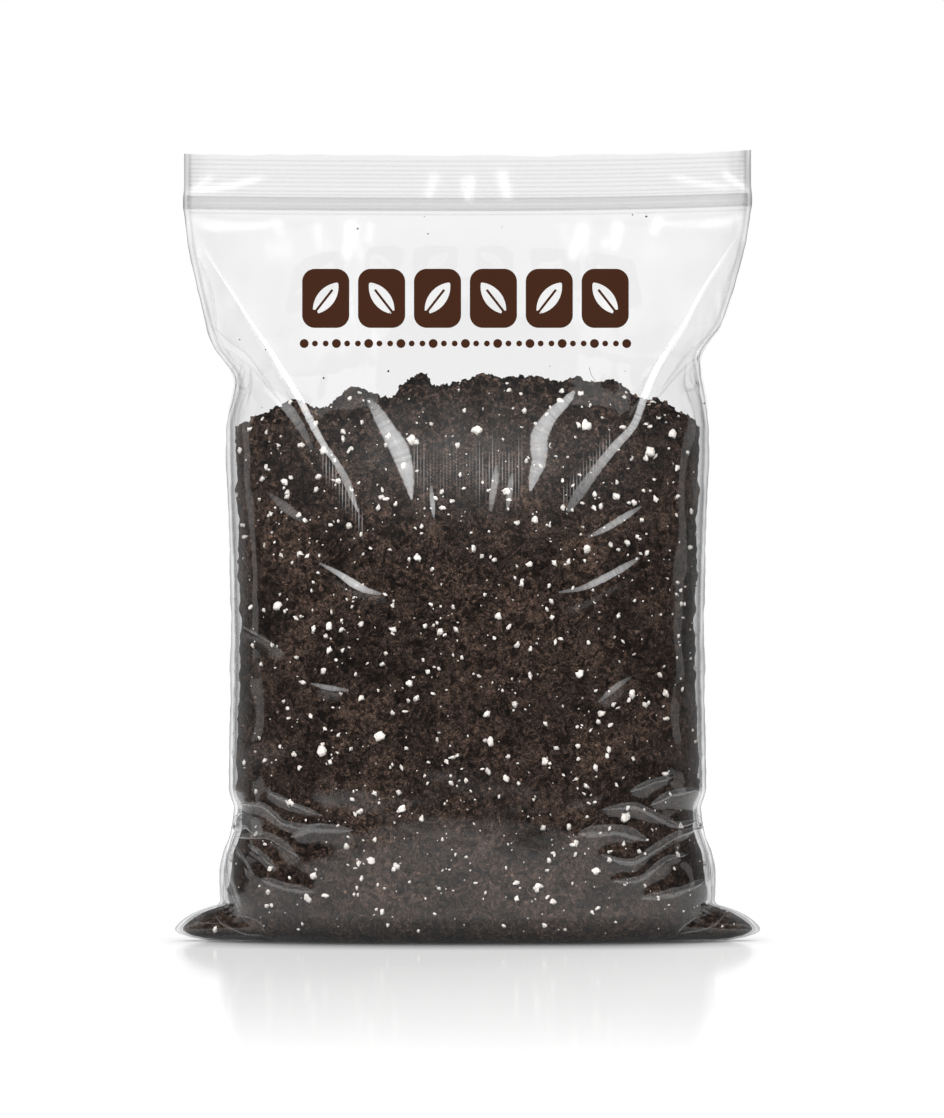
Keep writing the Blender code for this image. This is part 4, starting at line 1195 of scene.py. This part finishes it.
# half the width and half the height of the sheet that the print is cut from, and its middle's height
half_wide, half_high, sheet_up = 0.102, 0.0265, 0.3665
bm = bmesh.new()
bmesh.ops.create_grid(bm, x_segments=340, y_segments=90, size=1)
bm.verts.ensure_lookup_table()
flat = np.array([v.co[:] for v in bm.verts])
across = print_middle[0] + flat[:, 0] * half_wide
up = sheet_up + flat[:, 1] * half_high
inside = ink_distance(across, up)
outside_faces = [f for f in bm.faces if min(inside[v.index] for v in f.verts) > 0]
bmesh.ops.delete(bm, geom=outside_faces, context="FACES")
bmesh.ops.delete(bm, geom=[v for v in bm.verts if not v.link_faces], context="VERTS")
kept = np.array([(print_middle[0] + v.co.x * half_wide, sheet_up + v.co.y * half_high) for v in bm.verts])
nudge = 1e-5
for _ in range(4):
    ink_x, ink_z = kept[:, 0], kept[:, 1]
    away = np.maximum(ink_distance(ink_x, ink_z), 0)
    slope_x = (ink_distance(ink_x + nudge, ink_z) - ink_distance(ink_x - nudge, ink_z)) / (2 * nudge)
    slope_z = (ink_distance(ink_x, ink_z + nudge) - ink_distance(ink_x, ink_z - nudge)) / (2 * nudge)
    steep = np.maximum(slope_x**2 + slope_z**2, 0.2)
    kept[:, 0] -= away * slope_x / steep
    kept[:, 1] -= away * slope_z / steep
for vertex, (a, u) in zip(bm.verts, kept.tolist()):
    seat, out = on_film(a, u, -1)
    vertex.co = seat + out * 0.00015
bmesh.ops.dissolve_degenerate(bm, dist=1e-6, edges=bm.edges)
bmesh.ops.recalc_face_normals(bm, faces=bm.faces)
mesh = bpy.data.meshes.new("print")
bm.to_mesh(mesh)
bm.free()
mesh.shade_smooth()
ink = add_piece("print", mesh, "print")
material, shader, output, add, links = new_material("brown_ink")
shader.inputs["Base Color"].default_value = (0.026, 0.0095, 0.0048, 1)
shader.inputs["Roughness"].default_value = 0.55
shader.inputs["Specular IOR Level"].default_value = 0.1
ink.data.materials.append(material)

# The floor and the backdrop are plain white card. Soft lamps stand in front, at the back and at the sides.
# The floor is glossy enough to mirror the bag faintly, more so close to the bag.
def card(name, size, location, rotation=(0, 0, 0)):
    bm = bmesh.new()
    bmesh.ops.create_grid(bm, x_segments=1, y_segments=1, size=size / 2)
    mesh = bpy.data.meshes.new(name)
    bm.to_mesh(mesh)
    bm.free()
    mesh.transform(Matrix.Translation(location) @ Euler(rotation).to_matrix().to_4x4())
    made = bpy.data.objects.new(name, mesh)
    bpy.context.scene.collection.objects.link(made)
    return made


def seen_in_picture(add, links):
    """1 for what is seen straight, in a mirror or through glass, and 0 for what lights other things."""
    path = add("ShaderNodeLightPath")
    seen = maths(add, links, "MAXIMUM", path.outputs["Is Camera Ray"], path.outputs["Is Glossy Ray"])
    return maths(add, links, "MAXIMUM", seen, path.outputs["Is Transmission Ray"])


FLOOR_GLOW = 0.8
floor = card("floor", 20.0, (0, 0, -0.0002))
material, shader, output, add, links = new_material("floor_card")
where = add("ShaderNodeTexCoord")
reach = add("ShaderNodeVectorMath", {"operation": "LENGTH"}, Vector=where.outputs["Object"]).outputs["Value"]
near = ranged(add, reach, 0.75, 1.5, 1.0, 0.06, "SMOOTHSTEP")
far = ranged(add, reach, 0.6, 2.0, 1.0, 1.4, "SMOOTHSTEP")
# The floor glows, seen by the camera and in reflections: for the camera it grows far off, and in reflections
# it fades away from the bag.
path = add("ShaderNodeLightPath")
glow = add("ShaderNodeMix", Factor=path.outputs["Is Camera Ray"], A=near, B=far)
share = maths(add, links, "MULTIPLY", glow.outputs["Result"], seen_in_picture(add, links))
# Painted contact shadow: close to the bag, where ambient occlusion finds the floor hemmed in, the glow is
# dimmed.
open_sky = add("ShaderNodeAmbientOcclusion", {"samples": 8}, Distance=0.06)
painted_contact_shadow = ranged(add, open_sky.outputs["AO"], 0.4, 1, 0.05, FLOOR_GLOW)
open_floor = ranged(add, reach, 1.2, 2.2, 0, FLOOR_GLOW)
glow_level = maths(add, links, "MAXIMUM", painted_contact_shadow, open_floor)
links.new(maths(add, links, "MULTIPLY", share, glow_level), shader.inputs["Emission Strength"])
shader.inputs["Base Color"].default_value = (0.16, 0.16, 0.16, 1)
shader.inputs["Roughness"].default_value = 0.9
shader.inputs["Specular IOR Level"].default_value = 0.0
shader.inputs["Emission Color"].default_value = (1, 1, 1, 1)
mirror = add("ShaderNodeBsdfGlossy", Color=(1, 1, 1, 1), Roughness=0.09)
fade = ranged(add, reach, 0.1, 2.1, 0.45, 0.0, "SMOOTHSTEP")
polish = maths(add, links, "MULTIPLY", fade, add("ShaderNodeFresnel", IOR=1.5).outputs["Fac"])
blend = add("ShaderNodeMixShader", Fac=polish)
links.new(shader.outputs["BSDF"], blend.inputs[1])
links.new(mirror.outputs["BSDF"], blend.inputs[2])
links.new(blend.outputs["Shader"], output.inputs["Surface"])
floor.data.materials.append(material)

backdrop = card("backdrop", 6.0, (0, 6.5, 3), (math.pi / 2, 0, 0))
material, shader, output, add, links = new_material("backdrop_card")
links.new(seen_in_picture(add, links), shader.inputs["Emission Strength"])
shader.inputs["Emission Color"].default_value = (1, 1, 1, 1)
shader.inputs["Base Color"].default_value = (0.0, 0.0, 0.0, 1)
shader.inputs["Specular IOR Level"].default_value = 0.0
backdrop.data.materials.append(material)


def lamp(name, power, size, location, aim=(0, 0, 0.22), in_gloss=True, in_diffuse=True):
    light = bpy.data.lights.new(name, "AREA")
    light.shape = "RECTANGLE"
    light.size, light.size_y = size
    light.energy = power
    made = bpy.data.objects.new(name, light)
    made.location = location
    made.rotation_euler = (Vector(aim) - Vector(location)).to_track_quat("-Z", "Y").to_euler()
    made.visible_glossy = in_gloss
    made.visible_diffuse = in_diffuse
    bpy.context.scene.collection.objects.link(made)
    return made


lamp("key_soft", 122, (1.1, 1.1), (-1.2, -2.1, 1.45), in_gloss=False)
lamp("fill_soft", 60, (1.4, 1.4), (1.5, -2.0, 0.9), in_gloss=False)
lamp("back_soft", 105, (1.3, 1.3), (0.9, 2.2, 1.6), in_gloss=False)
lamp("strip_left", 1.2, (0.4, 1.4), (-1.9, -0.1, 0.8), in_diffuse=False)
lamp("strip_right", 1.0, (0.4, 1.4), (1.9, -0.1, 0.8), in_diffuse=False)
lamp("top_left", 0.7, (0.5, 0.5), (-0.75, -1.2, 1.55), in_diffuse=False)
lamp("top_right", 0.7, (0.5, 0.5), (0.8, -1.2, 1.55), in_diffuse=False)
world = bpy.data.worlds.new("studio")
bpy.context.scene.world = world
world.use_nodes = True
nodes, links = world.node_tree.nodes, world.node_tree.links
background = nodes["Background"]
background.inputs["Color"].default_value = (1, 1, 1, 1)
path = nodes.new("ShaderNodeLightPath")
level = nodes.new("ShaderNodeMapRange")
level.inputs["To Min"].default_value = 0.2
level.inputs["To Max"].default_value = 0.035
links.new(path.outputs["Is Glossy Ray"], level.inputs["Value"])
seen = nodes.new("ShaderNodeMath")
seen.operation = "MAXIMUM"
links.new(path.outputs["Is Camera Ray"], seen.inputs[0])
links.new(path.outputs["Is Transmission Ray"], seen.inputs[1])
brightest = nodes.new("ShaderNodeMath")
brightest.operation = "MAXIMUM"
links.new(level.outputs["Result"], brightest.inputs[0])
links.new(seen.outputs["Value"], brightest.inputs[1])
links.new(brightest.outputs["Value"], background.inputs["Strength"])
bpy.context.scene.view_settings.view_transform = "Standard"
bpy.context.scene.cycles.transparent_max_bounces = 32
